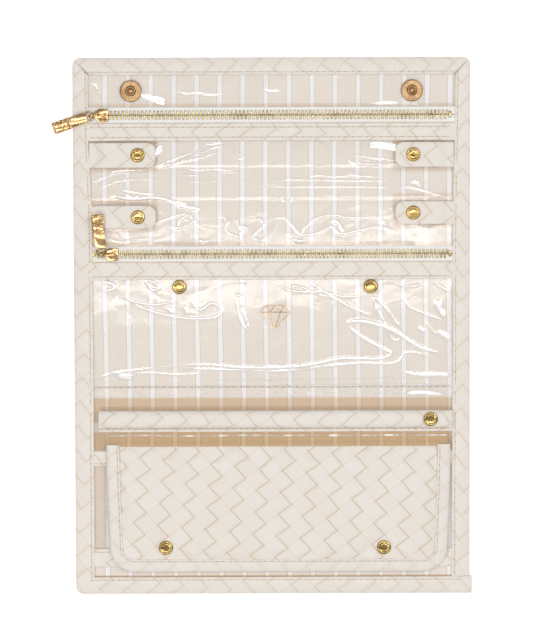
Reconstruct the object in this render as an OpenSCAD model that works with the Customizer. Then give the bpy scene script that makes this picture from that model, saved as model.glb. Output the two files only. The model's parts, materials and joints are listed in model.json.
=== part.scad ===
// Fold-up travel jewelry case, drawn open and lying flat with its pockets upwards.
// The origin is at the middle of the underside. Lengths are in millimetres.

/* [Case] */
// Width of the case
case_w = 255; // [225:1:306]
// Height of the middle panel, which is the closed case's depth
middle_h = 122; // [112:1:150]
// Outside corner radius
corner_r = 5; // [2:0.5:7]
// Width of the folded strip round the edge
binding_w = 11.3; // [9:0.1:13]
// How far the bottom strip runs past the right edge
strip_overhang = 1.3; // [0:0.1:2]

/* [Layers] */
// Thickness of the outer cover
cover_t = 0.9; // [0.7:0.1:1.2]
// Thickness of the cover's thinned lip inside the edge strip
lip_t = 0.4; // [0.3:0.1:0.6]
// Thickness of the foam padding
padding_t = 1.2; // [1:0.1:2]
// Thickness of the striped lining
lining_t = 0.4; // [0.3:0.1:0.6]
// Thickness of the edge strip's leather
binding_t = 0.9; // [0.7:0.1:1.1]
// Thickness of a clear pocket front
clear_t = 0.4; // [0.3:0.1:0.5]
// Thickness of a zip tape
tape_t = 0.5; // [0.4:0.1:0.6]
// Thickness of a leather trim
trim_t = 0.8; // [0.6:0.1:1.1]

/* [Folds] */
// Height of the spine between the top and middle panels
upper_spine_h = 20.8; // [20.8:0.1:25]
// Height of the spine between the middle and bottom panels
lower_spine_h = 12; // [12:0.1:15]
// Gap along each fold line
fold_gap = 0.3; // [0.2:0.05:0.5]
// How much shorter the bottom panel is than the middle one
close_inset = 2; // [2:0.5:6]

/* [Bands] */
// Height of the clear strip above the upper zip
strip_h = 20.4; // [17:0.1:25]
// Height of each zip's visible tape
zip_band = 10.4; // [10:0.1:13]
// Height of each trim under a zip
trim_h = 11.2; // [9:0.1:14]
// Height of the lower part of the see-through pocket, below the fold
clear_low_h = 28.8; // [26:0.1:34]

/* [Zips] */
// Tooth spacing along one side
tooth_pitch = 2.5; // [2:0.1:3]
// Tooth length across the zip
tooth_l = 3.5; // [3:0.1:4]
// Tooth width along the zip
tooth_w = 1.05; // [0.8:0.05:1.2]
// Tooth height above the tape
tooth_h = 1.2; // [1:0.1:1.3]
// Slider length
slider_l = 8; // [7:0.1:10]
// Slider top plate thickness
slider_t = 1; // [0.8:0.1:1.1]
// Pull length from its pivot
pull_l = 26; // [22:0.5:27]
// Pull width at its outer end
pull_w = 7.9; // [6:0.1:8]
// Pull thickness
pull_t = 1.4; // [1:0.1:1.4]
// Diameter of the pull's pivot bar
bar_d = 1.3; // [1:0.1:1.4]
// Slant of the upper pull below the zip line, in degrees
upper_pull_slant = 19.5; // [5:0.5:25]
// Slant of the lower pull from straight up, in degrees
lower_pull_slant = 6.5; // [0:0.5:8]
// Lift of the lower pull where it lies over the tab, in degrees
lower_pull_lift = 6; // [6:0.5:8]

/* [Tabs and snaps] */
// Length of each left tab from the edge strip
left_tab_l = 42; // [36:0.5:46]
// Length of each right tab from the edge strip
right_tab_l = 37; // [34:0.5:44]
// Width of the upper tabs
upper_tab_w = 16; // [12:0.5:17]
// Width of the lower tabs
lower_tab_w = 14.8; // [12:0.5:16]
// Thickness of a tab
tab_t = 1.2; // [0.9:0.1:1.3]
// Length of the sewn-down root of each tab
tab_root_l = 9.5; // [9.5:0.1:12]
// Corner radius at a tab's end
tab_r = 5; // [3:0.5:6]
// Distance of each snap from its tab's end
snap_inset = 11.5; // [8:0.1:14]
// Snap cap diameter
cap_d = 9.2; // [8:0.1:10]
// Snap cap height
cap_h = 1.3; // [1:0.1:1.3]
// Snap post diameter
post_d = 3; // [2:0.1:4]
// Diameter of a stud's nose
nose_d = 4; // [3:0.1:5]
// Clearance round a stud's nose
nose_clear = 0.3; // [0.25:0.05:0.5]
// Distance of the snap pocket's left cap from the middle
left_cap_x = 59.5; // [50:0.5:75]
// Distance of the snap pocket's right cap from the middle
right_cap_x = 63.5; // [50:0.5:75]
// Magnetic snap diameter
magnet_d = 13.8; // [12:0.1:15]
// Diameter of a magnetic snap's nose
magnet_nose_d = 6.2; // [5:0.1:7]
// Distance of each magnetic snap from the middle
magnet_x = 90; // [70:0.5:100]

/* [Flap and ring bar] */
// Thickness of the ring bar
bar_h = 6.3; // [5:0.1:7]
// Width of the ring bar's round part
bar_w = 11.4; // [11:0.1:14]
// Width of the ring bar's sewn flange
flange_w = 2.2; // [2:0.1:4]
// Gap between the ring bar and the flap
flap_gap = 8.3; // [6:0.1:10]
// Width of the flap's edge strip
flap_binding_w = 8.4; // [6:0.1:10]
// Flap corner radius
flap_r = 16; // [10:0.5:20]
// Gap between the flap and the left edge strip
flap_left_gap = 9; // [6:0.5:12]
// Gap between the flap and the right edge strip
flap_right_gap = 2; // [1:0.5:6]
// Thickness of the flap
flap_t = 2.8; // [2.6:0.1:3]
// Distance of the flap's left snap from its left side
flap_snap_left = 38.5; // [30:0.5:50]
// Distance of the flap's right snap from its right side
flap_snap_right = 42.5; // [30:0.5:50]

/* [Hidden] */
$fn = 48;
clear = 0.3;
tiny = 0.05;

// Heights of the layers
edge_h = cover_t + lip_t + padding_t + lining_t + binding_t;
padding_z = cover_t + lip_t;
lining_z = padding_z + padding_t;
tape_z = edge_h - tape_t;
clear_z = edge_h - clear_t - 0.1;
clear_top = clear_z + clear_t;
trim_top = edge_h + trim_t;

// Fold lines and panel edges along Y
binding_in = case_w / 2 - binding_w;
top_h = binding_w + strip_h + zip_band + trim_h + upper_tab_w + 1.8;
bottom_h = middle_h - close_inset;
case_l = top_h + upper_spine_h + middle_h + lower_spine_h + bottom_h;
top_y = case_l / 2;
fold1_out = top_y - top_h;
fold1_in = fold1_out - upper_spine_h;
fold2_in = fold1_in - middle_h;
fold2_out = fold2_in - lower_spine_h;
half_gap = fold_gap / 2;

// Bands on the top panel
zip1_top = top_y - binding_w - strip_h;
zip1_y = zip1_top - zip_band / 2;
trim1_top = zip1_top - zip_band;
clear1_top = trim1_top - trim_h;
tape_tuck = 5.5;

// Bands on the middle panel
zip2_top = fold1_in - clear_low_h;
zip2_y = zip2_top - zip_band / 2;
trim2_top = zip2_top - zip_band;
pocket3_top = trim2_top - trim_h;
pocket3_end = fold2_in + 2;

// Snaps, from the stud's base up to the cap
stud_base_t = 0.4;
stud_nose_h = 1;
socket_z = clear_top + stud_base_t + 0.1;
socket_t = stud_nose_h + 0.2;
tab_z = socket_z + socket_t;
tab_top = tab_z + tab_t;
tab_hinge_x = binding_in - tab_root_l;
left_snap_x = -binding_in + left_tab_l - snap_inset;
right_snap_x = binding_in - right_tab_l + snap_inset;
upper_tab_y = clear1_top - 1.2 - upper_tab_w / 2;
left_tab_y = fold1_in - 2.8 - lower_tab_w / 2;
right_tab_y = fold1_in - 0.4 - lower_tab_w / 2;
pocket_cap_y = pocket3_top - cap_d / 2;
nose_hole_r = nose_d / 2 + nose_clear;
cap_slope = 0.8;
cap_rim = 2;

// Magnetic snaps meet when the case is folded
magnet_y = zip1_top + strip_h / 2;
magnet_land = fold1_in - (magnet_y - fold1_out);
socket_y = fold2_out - (magnet_land - fold2_in);
magnet_base_t = 0.8;
magnet_nose_h = 2.2;
magnet_hole_h = 0.8;

// Zip sliders
slider_wall = 0.8;
slider_half = tooth_l - tooth_w / 2 + 0.4 + slider_wall;
slider_z = edge_h + tooth_h + clear;
ring_r = bar_d / 2 + 0.35;
ring_t = 0.65;
ring_w = 1.8;
neck_t = ring_t - 0.15;
neck_half = ring_w / 2 - tiny;
pivot_z = slider_z + ring_t + ring_r - tiny;
slider_gap = 2.4;
slider_flare = 2.5;
slider_nose = 2.6;
upper_pivot_x = -binding_in + 1.3;
lower_pivot_x = -binding_in + 7.2;
zip_half = binding_in - 3;
tooth_count = floor((2 * zip_half - 3) / tooth_pitch);
tooth_lap = 0.6;
stop_w = 1.6;
stop_l = 4;

// Ring bar
bar_z = edge_h + 0.4;
bar_y1 = fold2_out - 0.5;
bar_y0 = bar_y1 - bar_w - flange_w;
bar_x0 = -binding_in + 3.3;
bar_x1 = binding_in - 0.5;
bar_snap_x = binding_in - 14.6;
bar_snap_y = bar_y1 - 5.6;
bar_wall = 0.9;
flange_t = 1.2;

// Flap
flap_z = tab_z - 0.1;
flap_y1 = bar_y0 - flap_gap;
flap_y0 = -top_y + binding_w + 3.7;
flap_x0 = -binding_in + flap_left_gap;
flap_x1 = binding_in - flap_right_gap;
flap_leg_t = 0.5;
flap_lining_t = 0.4;
flap_cover_t = 0.6;
flap_snap_y = flap_y0 + 16;
flap_cover_z = flap_z + flap_t - flap_leg_t - flap_cover_t;
flap_lining_z = flap_z + flap_leg_t;
flap_padding_z = flap_lining_z + flap_lining_t;
pocket4_top = flap_y1 - 4.5;
pocket4_trim_h = 9.6;
pocket4_base_h = 11.6;
pocket4_end = -top_y + binding_w + 6.8;
pocket_trim_t = 0.5;

leather = "#EAE4DA";
edge_leather = "#E4DCCE";
lining_c = "#E9DED4";
foam = "#F4F2EE";
vinyl = "#E8EEF2";
gold = "#D8B36A";
antique = "#BE9673";

// Box between two corners
module slab(x0, x1, y0, y1, z0, z1) {
  translate([x0, y0, z0])
    cube([x1 - x0, y1 - y0, z1 - z0]);
}

// Rectangle with round corners, on the plane
module round_rect(x0, x1, y0, y1, r) {
  translate([x0 + r, y0])
    square([x1 - x0 - 2 * r, y1 - y0]);
  translate([x0, y0 + r])
    square([x1 - x0, y1 - y0 - 2 * r]);
  for (x = [x0 + r, x1 - r])
    for (y = [y0 + r, y1 - r])
      translate([x, y])
        circle(r = r);
}

// Outline of the whole case, drawn in by an inset, with its lower right corner square
module case_outline(inset) {
  half = case_w / 2 - inset;
  high = top_y - inset;
  r = corner_r - inset;
  if (r > 0.2) {
    round_rect(-half, half, -high, high, r);
    translate([half - 2 * r, -high])
      square([2 * r, 2 * r]);
  } else {
    translate([-half, -high])
      square([2 * half, 2 * high]);
  }
}

// One layer of the case between two fold lines
module layer(inset, y0, y1, z, t) {
  translate([0, 0, z])
    linear_extrude(t)
      intersection() {
        case_outline(inset);
        translate([-case_w, y0])
          square([2 * case_w, y1 - y0]);
      }
}

// Outer cover, full thickness inside the edge strip and thin beneath it
module cover(y0, y1, top_in = 0, bottom_in = 0) {
  slab(-binding_in, binding_in, y0 + bottom_in, y1 - top_in, 0, cover_t);
  layer(binding_t, y0, y1, cover_t, lip_t);
}

// Leather folded round the edge of the case, open to the inside
module folded_edge() {
  difference() {
    linear_extrude(edge_h)
      case_outline(0);
    translate([0, 0, binding_t])
      linear_extrude(edge_h - 2 * binding_t)
        case_outline(binding_t);
    translate([0, 0, -1])
      linear_extrude(edge_h + 2)
        case_outline(binding_w);
  }
}

// The part of the folded edge that lies over an outline
module edge_piece(points) {
  intersection() {
    folded_edge();
    translate([0, 0, -1])
      linear_extrude(edge_h + 2)
        polygon(points);
  }
}

// Straight pieces of the folded edge at both sides
module side_edges(y0, y1) {
  for (s = [-1, 1])
    edge_piece([[0, y0], [s * case_w, y0], [s * case_w, y1], [0, y1]]);
}

// Zip tapes, with the lower one tucked under its trim
module zip_tapes(y) {
  slab(-binding_in, binding_in, y + 0.3, y + zip_band / 2, tape_z, edge_h);
  slab(-binding_in, binding_in, y - zip_band / 2 - tape_tuck, y - 0.3, tape_z, edge_h);
}

// Closed chain of teeth with a stop at each end
module zip_teeth(y) {
  reach = tooth_l - tooth_lap;
  for (i = [0:tooth_count - 1]) {
    x = -zip_half + 2 + i * tooth_pitch;
    slab(x, x + tooth_w, y - tooth_lap, y + reach, edge_h, edge_h + tooth_h);
    slab(x + tooth_pitch / 2, x + tooth_pitch / 2 + tooth_w, y - reach, y + tooth_lap, edge_h, edge_h + tooth_h);
  }
  for (s = [-1, 1])
    translate([s * (zip_half + 1.2), y, edge_h + tooth_h / 2])
      cube([stop_w, stop_l, tooth_h], center = true);
}

// Press stud base and nose, standing on the clear front
module stud(x, y) {
  translate([x, y, clear_top]) {
    cylinder(d = cap_d, h = stud_base_t);
    cylinder(d = nose_d, h = stud_base_t + stud_nose_h);
  }
}

// Hole for a snap's post
module post_hole(x, y, z0, z1) {
  translate([x, y, z0 - 1])
    cylinder(d = post_d, h = z1 - z0 + 2);
}

// Outer edge and crown of a snap's cap, from its rim to its middle
function cap_edge(z) = [
  [cap_d / 2, z],
  [cap_d / 2, z + cap_h * 0.45],
  [cap_d / 2 - cap_slope, z + cap_h * 0.85],
  [cap_d / 2 - cap_rim, z + cap_h],
  [0, z + cap_h]
];

// Round cap alone
module cap(x, y, z) {
  translate([x, y, 0])
    rotate_extrude()
      polygon(concat([[0, z]], cap_edge(z)));
}

// Snap: a socket under the leather, a post through it and a round cap on top
module snap(x, y, under, over) {
  hole_top = socket_z + socket_t - 0.1;
  translate([x, y, 0])
    rotate_extrude()
      polygon(concat(
        [[nose_hole_r, socket_z], [cap_d / 2, socket_z], [cap_d / 2, under]],
        [[post_d / 2, under], [post_d / 2, over]],
        cap_edge(over),
        [[0, hole_top], [nose_hole_r, hole_top]]
      ));
}

// Tab at the right side, from its hinge line to its round end
module tab(y, w, length) {
  x0 = binding_in - length;
  x1 = tab_hinge_x - 0.2;
  difference() {
    translate([0, 0, tab_z])
      linear_extrude(tab_t) {
        round_rect(x0, x1, y - w / 2, y + w / 2, tab_r);
        translate([x0 + tab_r, y - w / 2])
          square([x1 - x0 - tab_r, w]);
      }
    post_hole(x0 + snap_inset, y, tab_z, tab_top);
  }
}

// Sewn-down root of a tab at the right side
module tab_root(y, w) {
  slab(tab_hinge_x + 0.2, binding_in, y - w / 2, y + w / 2, clear_top, tab_top);
}

// Outline of the flap, drawn in by an inset, square at its hinged edge
module flap_outline(inset) {
  r = flap_r - inset;
  round_rect(flap_x0 + inset, flap_x1 - inset, flap_y0 + inset, flap_y1, r);
  translate([flap_x0 + inset, flap_y1 - 2 * r])
    square([flap_x1 - flap_x0 - 2 * inset, 2 * r]);
}

// One layer of the flap, with holes for its snaps
module flap_layer(inset, z, t) {
  difference() {
    translate([0, 0, z])
      linear_extrude(t)
        flap_outline(inset);
    for (x = flap_snap_places())
      post_hole(x, flap_snap_y, z, z + t);
  }
}

function flap_snap_places() = [flap_x0 + flap_snap_left, flap_x1 - flap_snap_right];

// Cross-section of the ring bar's round part
module bar_section(inset) {
  r = bar_h / 2 - inset;
  for (x = [0, bar_w - bar_h])
    translate([-bar_y1 + bar_h / 2 + x, bar_z + bar_h / 2])
      circle(r = r);
  translate([-bar_y1 + bar_h / 2, bar_z + inset])
    square([bar_w - bar_h, bar_h - 2 * inset]);
}

// The ring bar's section swept along the case's width
module bar_sweep(inset) {
  translate([bar_x0, 0, 0])
    rotate([90, 0, 90])
      mirror([1, 0, 0])
        linear_extrude(bar_x1 - bar_x0)
          bar_section(inset);
}

// Zip slider with its pivot at x 0, its body towards +X and a ring for the pull
module slider(x, y, ring_turn) {
  translate([x, y, 0]) {
    translate([0, 0, slider_z])
      linear_extrude(slider_t)
        polygon([
          [slider_gap, -slider_nose], [slider_gap + slider_flare, -slider_half],
          [slider_gap + slider_l, -slider_half], [slider_gap + slider_l, slider_half],
          [slider_gap + slider_flare, slider_half], [slider_gap, slider_nose]
        ]);
    for (s = [-1, 1])
      slab(slider_gap + slider_flare, slider_gap + slider_l,
        min(s * slider_half, s * (slider_half - slider_wall)),
        max(s * slider_half, s * (slider_half - slider_wall)),
        edge_h + clear, slider_z);
    slab(0, slider_gap + 1, -neck_half, neck_half, slider_z, slider_z + neck_t);
    translate([slider_gap + 4, 0, slider_z + slider_t])
      cylinder(d = 4, h = 0.5);
    translate([0, 0, pivot_z])
      rotate([0, 0, ring_turn])
        rotate([90, 0, 0])
          difference() {
            cylinder(r = ring_r + ring_t, h = ring_w, center = true);
            cylinder(r = ring_r, h = ring_w + 1, center = true);
          }
  }
}

// Zip pull lying from its pivot towards +X: a bar, a slotted loop and a plate
module pull(x, y, turn, lift) {
  slot_l = ring_r + ring_t + 2;
  slot_half = ring_w / 2 + 0.45;
  loop_half = slot_half + 1.2;
  translate([x, y, pivot_z])
    rotate([0, 0, turn])
      rotate([0, -lift, 0]) {
        rotate([90, 0, 0])
          cylinder(d = bar_d, h = 2 * loop_half, center = true);
        translate([0, 0, -bar_d / 2])
          linear_extrude(bar_d)
            difference() {
              polygon([
                [0, -loop_half], [slot_l, -loop_half], [slot_l + 3, -pull_w / 2], [slot_l + 3, pull_w / 2],
                [slot_l, loop_half], [0, loop_half]
              ]);
              translate([-1, -slot_half])
                square([slot_l + 1, 2 * slot_half]);
            }
        slab(slot_l + 2, pull_l, -pull_w / 2, pull_w / 2, -pull_t / 2, pull_t / 2);
      }
}

module top_cover() {
  color(leather)
    cover(fold1_out + half_gap, top_y, top_in = binding_w);
}

module top_padding() {
  color(foam)
    layer(binding_t, fold1_out + half_gap, top_y, padding_z, padding_t);
}

module top_lining() {
  color(lining_c)
    layer(binding_t, fold1_out + half_gap, top_y, lining_z, lining_t);
}

// Side strips and top strip, mitred at the corners
module top_bindings() {
  w = case_w / 2;
  color(edge_leather) {
    for (s = [-1, 1])
      edge_piece([
        [0, fold1_out + half_gap], [s * (w + 1), fold1_out + half_gap], [s * (w + 1), top_y + 1 - tiny],
        [s * (w - binding_w - 2), top_y - binding_w - 2 - tiny], [0, top_y - binding_w - 2 - tiny]
      ]);
    edge_piece([
      [-w - 1, top_y + 1], [w + 1, top_y + 1],
      [w - binding_w - 2, top_y - binding_w - 2], [-w + binding_w + 2, top_y - binding_w - 2]
    ]);
  }
}

module top_clear_strip() {
  color(vinyl)
    slab(-binding_in, binding_in, zip1_top, top_y - binding_w, clear_z, clear_top);
}

module upper_zip_tapes() {
  color("white")
    zip_tapes(zip1_y);
}

module upper_zip_teeth() {
  color(gold)
    zip_teeth(zip1_y);
}

module upper_trim() {
  color(leather)
    slab(-binding_in, binding_in, clear1_top, trim1_top, edge_h, trim_top);
}

module top_clear_front() {
  color(vinyl)
    slab(-binding_in, binding_in, fold1_out + half_gap, trim1_top - tape_tuck, clear_z, clear_top);
}

// Male halves of the magnetic snaps
module magnet_studs() {
  color(antique)
    for (s = [-1, 1])
      translate([s * magnet_x, magnet_y, clear_top]) {
        cylinder(d = magnet_d, h = magnet_base_t);
        cylinder(d = magnet_nose_d, h = magnet_base_t + magnet_nose_h);
      }
}

module top_snap_studs() {
  color(gold)
    for (x = [left_snap_x, right_snap_x])
      stud(x, upper_tab_y);
}

module upper_tab_roots() {
  color(leather)
    for (s = [0, 1])
      mirror([s, 0, 0])
        tab_root(upper_tab_y, upper_tab_w);
}

module upper_spine_cover() {
  color(leather)
    cover(fold1_in + half_gap, fold1_out - half_gap);
}

module upper_spine_lining() {
  color(lining_c)
    layer(binding_t, fold1_in + half_gap, fold1_out - half_gap, lining_z, lining_t);
}

module upper_spine_bindings() {
  color(edge_leather)
    side_edges(fold1_in + half_gap, fold1_out - half_gap);
}

module upper_spine_clear() {
  color(vinyl)
    slab(-binding_in, binding_in, fold1_in + half_gap, fold1_out - half_gap, clear_z, clear_top);
}

module middle_cover() {
  color(leather)
    cover(fold2_in + half_gap, fold1_in - half_gap);
}

module middle_padding() {
  color(foam)
    layer(binding_t, fold2_in + half_gap, fold1_in - half_gap, padding_z, padding_t);
}

module middle_lining() {
  color(lining_c)
    layer(binding_t, fold2_in + half_gap, fold1_in - half_gap, lining_z, lining_t);
}

module middle_bindings() {
  color(edge_leather)
    side_edges(fold2_in + half_gap, fold1_in - half_gap);
}

module middle_clear_front() {
  color(vinyl)
    slab(-binding_in, binding_in, zip2_top, fold1_in - half_gap, clear_z, clear_top);
}

module lower_zip_tapes() {
  color("white")
    zip_tapes(zip2_y);
}

module lower_zip_teeth() {
  color(gold)
    zip_teeth(zip2_y);
}

module lower_trim() {
  color(leather)
    slab(-binding_in, binding_in, pocket3_top, trim2_top, edge_h, trim_top);
}

module snap_pocket_front() {
  color(vinyl)
    slab(-binding_in, binding_in, pocket3_end, pocket3_top, clear_z, clear_top);
}

// Caps that close the mouth of the snap pocket
module snap_pocket_caps() {
  color(gold)
    for (x = [-left_cap_x, right_cap_x])
      cap(x, pocket_cap_y, clear_top);
}

module middle_snap_studs() {
  color(gold) {
    stud(left_snap_x, left_tab_y);
    stud(right_snap_x, right_tab_y);
  }
}

module lower_tab_roots() {
  color(leather) {
    mirror([1, 0, 0])
      tab_root(left_tab_y, lower_tab_w);
    tab_root(right_tab_y, lower_tab_w);
  }
}

module lower_spine_cover() {
  color(leather)
    cover(fold2_out + half_gap, fold2_in - half_gap);
}

module lower_spine_lining() {
  color(lining_c)
    layer(binding_t, fold2_out + half_gap, fold2_in - half_gap, lining_z, lining_t);
}

module lower_spine_bindings() {
  color(edge_leather)
    side_edges(fold2_out + half_gap, fold2_in - half_gap);
}

module bottom_cover() {
  color(leather)
    difference() {
      cover(-top_y, fold2_out - half_gap, bottom_in = binding_w);
      for (s = [-1, 1])
        translate([s * magnet_x, socket_y, -1])
          cylinder(d = magnet_d, h = padding_z + 2);
    }
}

module bottom_padding() {
  color(foam)
    difference() {
      layer(binding_t, -top_y, fold2_out - half_gap, padding_z, padding_t);
      for (s = [-1, 1])
        translate([s * magnet_x, socket_y, 0])
          cylinder(d = magnet_d, h = edge_h);
    }
}

module bottom_lining() {
  color(lining_c)
    layer(binding_t, -top_y, fold2_out - half_gap, lining_z, lining_t);
}

// Side strips, and a bottom strip that runs past the right edge
module bottom_bindings() {
  w = case_w / 2;
  low = -top_y;
  top = fold2_out - half_gap;
  color(edge_leather) {
    edge_piece([
      [0, top], [-w - 1, top], [-w - 1, low - 1 + tiny],
      [-w + binding_w + 2, low + binding_w + 2 + tiny], [0, low + binding_w + 2 + tiny]
    ]);
    edge_piece([[0, top], [w + 1, top], [w + 1, low + binding_w + tiny], [0, low + binding_w + tiny]]);
    edge_piece([
      [-w - 1, low - 1], [w + 1, low - 1], [w + 1, low + binding_w],
      [-w + binding_w, low + binding_w]
    ]);
    slab(w, w + strip_overhang, low, low + binding_w, 0, edge_h);
  }
}

// Leather strips above and below the clear window of the flap pocket
module box_pocket_trims() {
  color(leather)
    difference() {
      union() {
        slab(-binding_in, binding_in, pocket4_top - pocket4_trim_h, pocket4_top, edge_h, edge_h + pocket_trim_t);
        slab(-binding_in, binding_in, pocket4_end, pocket4_end + pocket4_base_h, edge_h, edge_h + pocket_trim_t);
      }
      for (x = flap_snap_places())
        translate([x, flap_snap_y, 0])
          cylinder(d = cap_d + 2 * clear, h = 20);
    }
}

module box_pocket_clear() {
  color(vinyl)
    slab(-binding_in, binding_in, pocket4_end, fold2_out - 2, clear_z, clear_top);
}

// Female halves of the magnetic snaps, flush with the outside
module magnet_sockets() {
  color(antique)
    for (s = [-1, 1])
      translate([s * magnet_x, socket_y, 0])
        difference() {
          cylinder(d = magnet_d, h = lining_z);
          translate([0, 0, -1])
            cylinder(d = magnet_nose_d + 1, h = magnet_hole_h + 1);
        }
}

module bottom_snap_studs() {
  color(gold) {
    for (x = flap_snap_places())
      stud(x, flap_snap_y);
    stud(bar_snap_x, bar_snap_y);
  }
}

// Strip that the flap is sewn to, behind the ring bar
module flap_root() {
  color(leather)
    slab(flap_x0, flap_x1, flap_y1 + 2, bar_y0 - 0.5, clear_top, flap_z + flap_t / 2 - flap_leg_t);
}

module upper_left_tab() {
  color(leather)
    mirror([1, 0, 0])
      tab(upper_tab_y, upper_tab_w, left_tab_l);
}

module upper_right_tab() {
  color(leather)
    tab(upper_tab_y, upper_tab_w, right_tab_l);
}

module lower_left_tab() {
  color(leather)
    mirror([1, 0, 0])
      tab(left_tab_y, lower_tab_w, left_tab_l);
}

module lower_right_tab() {
  color(leather)
    tab(right_tab_y, lower_tab_w, right_tab_l);
}

module upper_left_snap() {
  color(gold)
    snap(left_snap_x, upper_tab_y, tab_z, tab_top);
}

module upper_right_snap() {
  color(gold)
    snap(right_snap_x, upper_tab_y, tab_z, tab_top);
}

module lower_left_snap() {
  color(gold)
    snap(left_snap_x, left_tab_y, tab_z, tab_top);
}

module lower_right_snap() {
  color(gold)
    snap(right_snap_x, right_tab_y, tab_z, tab_top);
}

module flap_cover() {
  color(leather)
    flap_layer(flap_leg_t, flap_cover_z, flap_cover_t);
}

module flap_padding() {
  color(foam)
    flap_layer(flap_leg_t, flap_padding_z, flap_cover_z - flap_padding_z);
}

module flap_lining() {
  color(lining_c)
    flap_layer(flap_leg_t, flap_lining_z, flap_lining_t);
}

module flap_binding() {
  color(edge_leather)
    difference() {
      translate([0, 0, flap_z])
        linear_extrude(flap_t)
          flap_outline(0);
      translate([0, 0, flap_lining_z])
        linear_extrude(flap_t - 2 * flap_leg_t) {
          flap_outline(flap_leg_t);
          translate([flap_x0 + flap_leg_t, flap_y1 - 5])
            square([flap_x1 - flap_x0 - 2 * flap_leg_t, 6]);
        }
      translate([0, 0, flap_z - 1])
        linear_extrude(flap_t + 2) {
          flap_outline(flap_binding_w);
          translate([flap_x0 + flap_binding_w, flap_y1 - 5])
            square([flap_x1 - flap_x0 - 2 * flap_binding_w, 6]);
        }
    }
}

module flap_snaps() {
  color(gold)
    for (x = flap_snap_places())
      snap(x, flap_snap_y, flap_lining_z, flap_cover_z + flap_cover_t);
}

// Hole for the ring bar's post, wider underneath where the stud's nose goes in
module bar_snap_hole() {
  post_hole(bar_snap_x, bar_snap_y, bar_z, bar_z + bar_h);
  translate([bar_snap_x, bar_snap_y, bar_z - 1])
    cylinder(r = nose_hole_r, h = socket_t + 1);
}

// Leather tube with a sewn flange along its lower side
module ring_bar_cover() {
  color(leather)
    difference() {
      union() {
        bar_sweep(0);
        slab(bar_x0, bar_x1, bar_y0, bar_y1 - bar_w + 2, bar_z, bar_z + flange_t);
      }
      bar_sweep(bar_wall);
      bar_snap_hole();
    }
}

module ring_bar_core() {
  color(foam)
    difference() {
      bar_sweep(bar_wall);
      bar_snap_hole();
    }
}

// Cap above the ring bar and its post down to the stud's hole
module ring_bar_snap() {
  color(gold) {
    translate([bar_snap_x, bar_snap_y, bar_z + socket_t])
      cylinder(d = post_d, h = bar_h - socket_t);
    cap(bar_snap_x, bar_snap_y, bar_z + bar_h);
  }
}

module upper_slider() {
  color(gold)
    slider(upper_pivot_x, zip1_y, upper_pull_slant);
}

module upper_pull() {
  color(gold)
    pull(upper_pivot_x, zip1_y, 180 + upper_pull_slant, 0);
}

module lower_slider() {
  color(gold)
    slider(lower_pivot_x, zip2_y, 90 + lower_pull_slant);
}

module lower_pull() {
  color(gold)
    pull(lower_pivot_x, zip2_y, 90 + lower_pull_slant, lower_pull_lift);
}

top_cover();
top_padding();
top_lining();
top_bindings();
top_clear_strip();
upper_zip_tapes();
upper_zip_teeth();
upper_trim();
top_clear_front();
magnet_studs();
top_snap_studs();
upper_tab_roots();
upper_spine_cover();
upper_spine_lining();
upper_spine_bindings();
upper_spine_clear();
middle_cover();
middle_padding();
middle_lining();
middle_bindings();
middle_clear_front();
lower_zip_tapes();
lower_zip_teeth();
lower_trim();
snap_pocket_front();
snap_pocket_caps();
middle_snap_studs();
lower_tab_roots();
lower_spine_cover();
lower_spine_lining();
lower_spine_bindings();
bottom_cover();
bottom_padding();
bottom_lining();
bottom_bindings();
box_pocket_trims();
box_pocket_clear();
magnet_sockets();
bottom_snap_studs();
flap_root();
upper_left_tab();
upper_right_tab();
lower_left_tab();
lower_right_tab();
upper_left_snap();
upper_right_snap();
lower_left_snap();
lower_right_snap();
flap_cover();
flap_padding();
flap_lining();
flap_binding();
flap_snaps();
ring_bar_cover();
ring_bar_core();
ring_bar_snap();
upper_slider();
upper_pull();
lower_slider();
lower_pull();
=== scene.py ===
import json
import math

import bpy
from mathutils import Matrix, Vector, noise


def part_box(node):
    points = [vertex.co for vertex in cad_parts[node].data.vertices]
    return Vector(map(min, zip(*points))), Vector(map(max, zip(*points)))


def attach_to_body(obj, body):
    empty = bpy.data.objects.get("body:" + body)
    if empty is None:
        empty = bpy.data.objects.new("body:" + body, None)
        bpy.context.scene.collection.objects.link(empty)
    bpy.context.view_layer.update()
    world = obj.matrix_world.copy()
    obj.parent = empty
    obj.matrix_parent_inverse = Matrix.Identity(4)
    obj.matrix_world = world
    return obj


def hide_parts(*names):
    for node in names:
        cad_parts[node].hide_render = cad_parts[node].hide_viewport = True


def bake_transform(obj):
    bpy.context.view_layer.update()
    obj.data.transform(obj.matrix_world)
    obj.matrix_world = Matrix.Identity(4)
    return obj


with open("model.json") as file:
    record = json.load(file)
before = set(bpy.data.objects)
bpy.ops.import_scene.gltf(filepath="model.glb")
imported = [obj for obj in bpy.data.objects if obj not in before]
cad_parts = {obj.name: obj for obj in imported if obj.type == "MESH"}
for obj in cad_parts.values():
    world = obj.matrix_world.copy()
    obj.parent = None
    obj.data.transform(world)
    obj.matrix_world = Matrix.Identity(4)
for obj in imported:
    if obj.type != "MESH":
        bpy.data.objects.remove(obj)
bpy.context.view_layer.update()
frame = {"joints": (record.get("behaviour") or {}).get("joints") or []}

mm = 0.001


def boxMm(node):
    low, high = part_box(node)
    return [c / mm for c in low], [c / mm for c in high]


def centreMm(node):
    low, high = boxMm(node)
    return [(a + b) / 2 for a, b in zip(low, high)]


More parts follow.
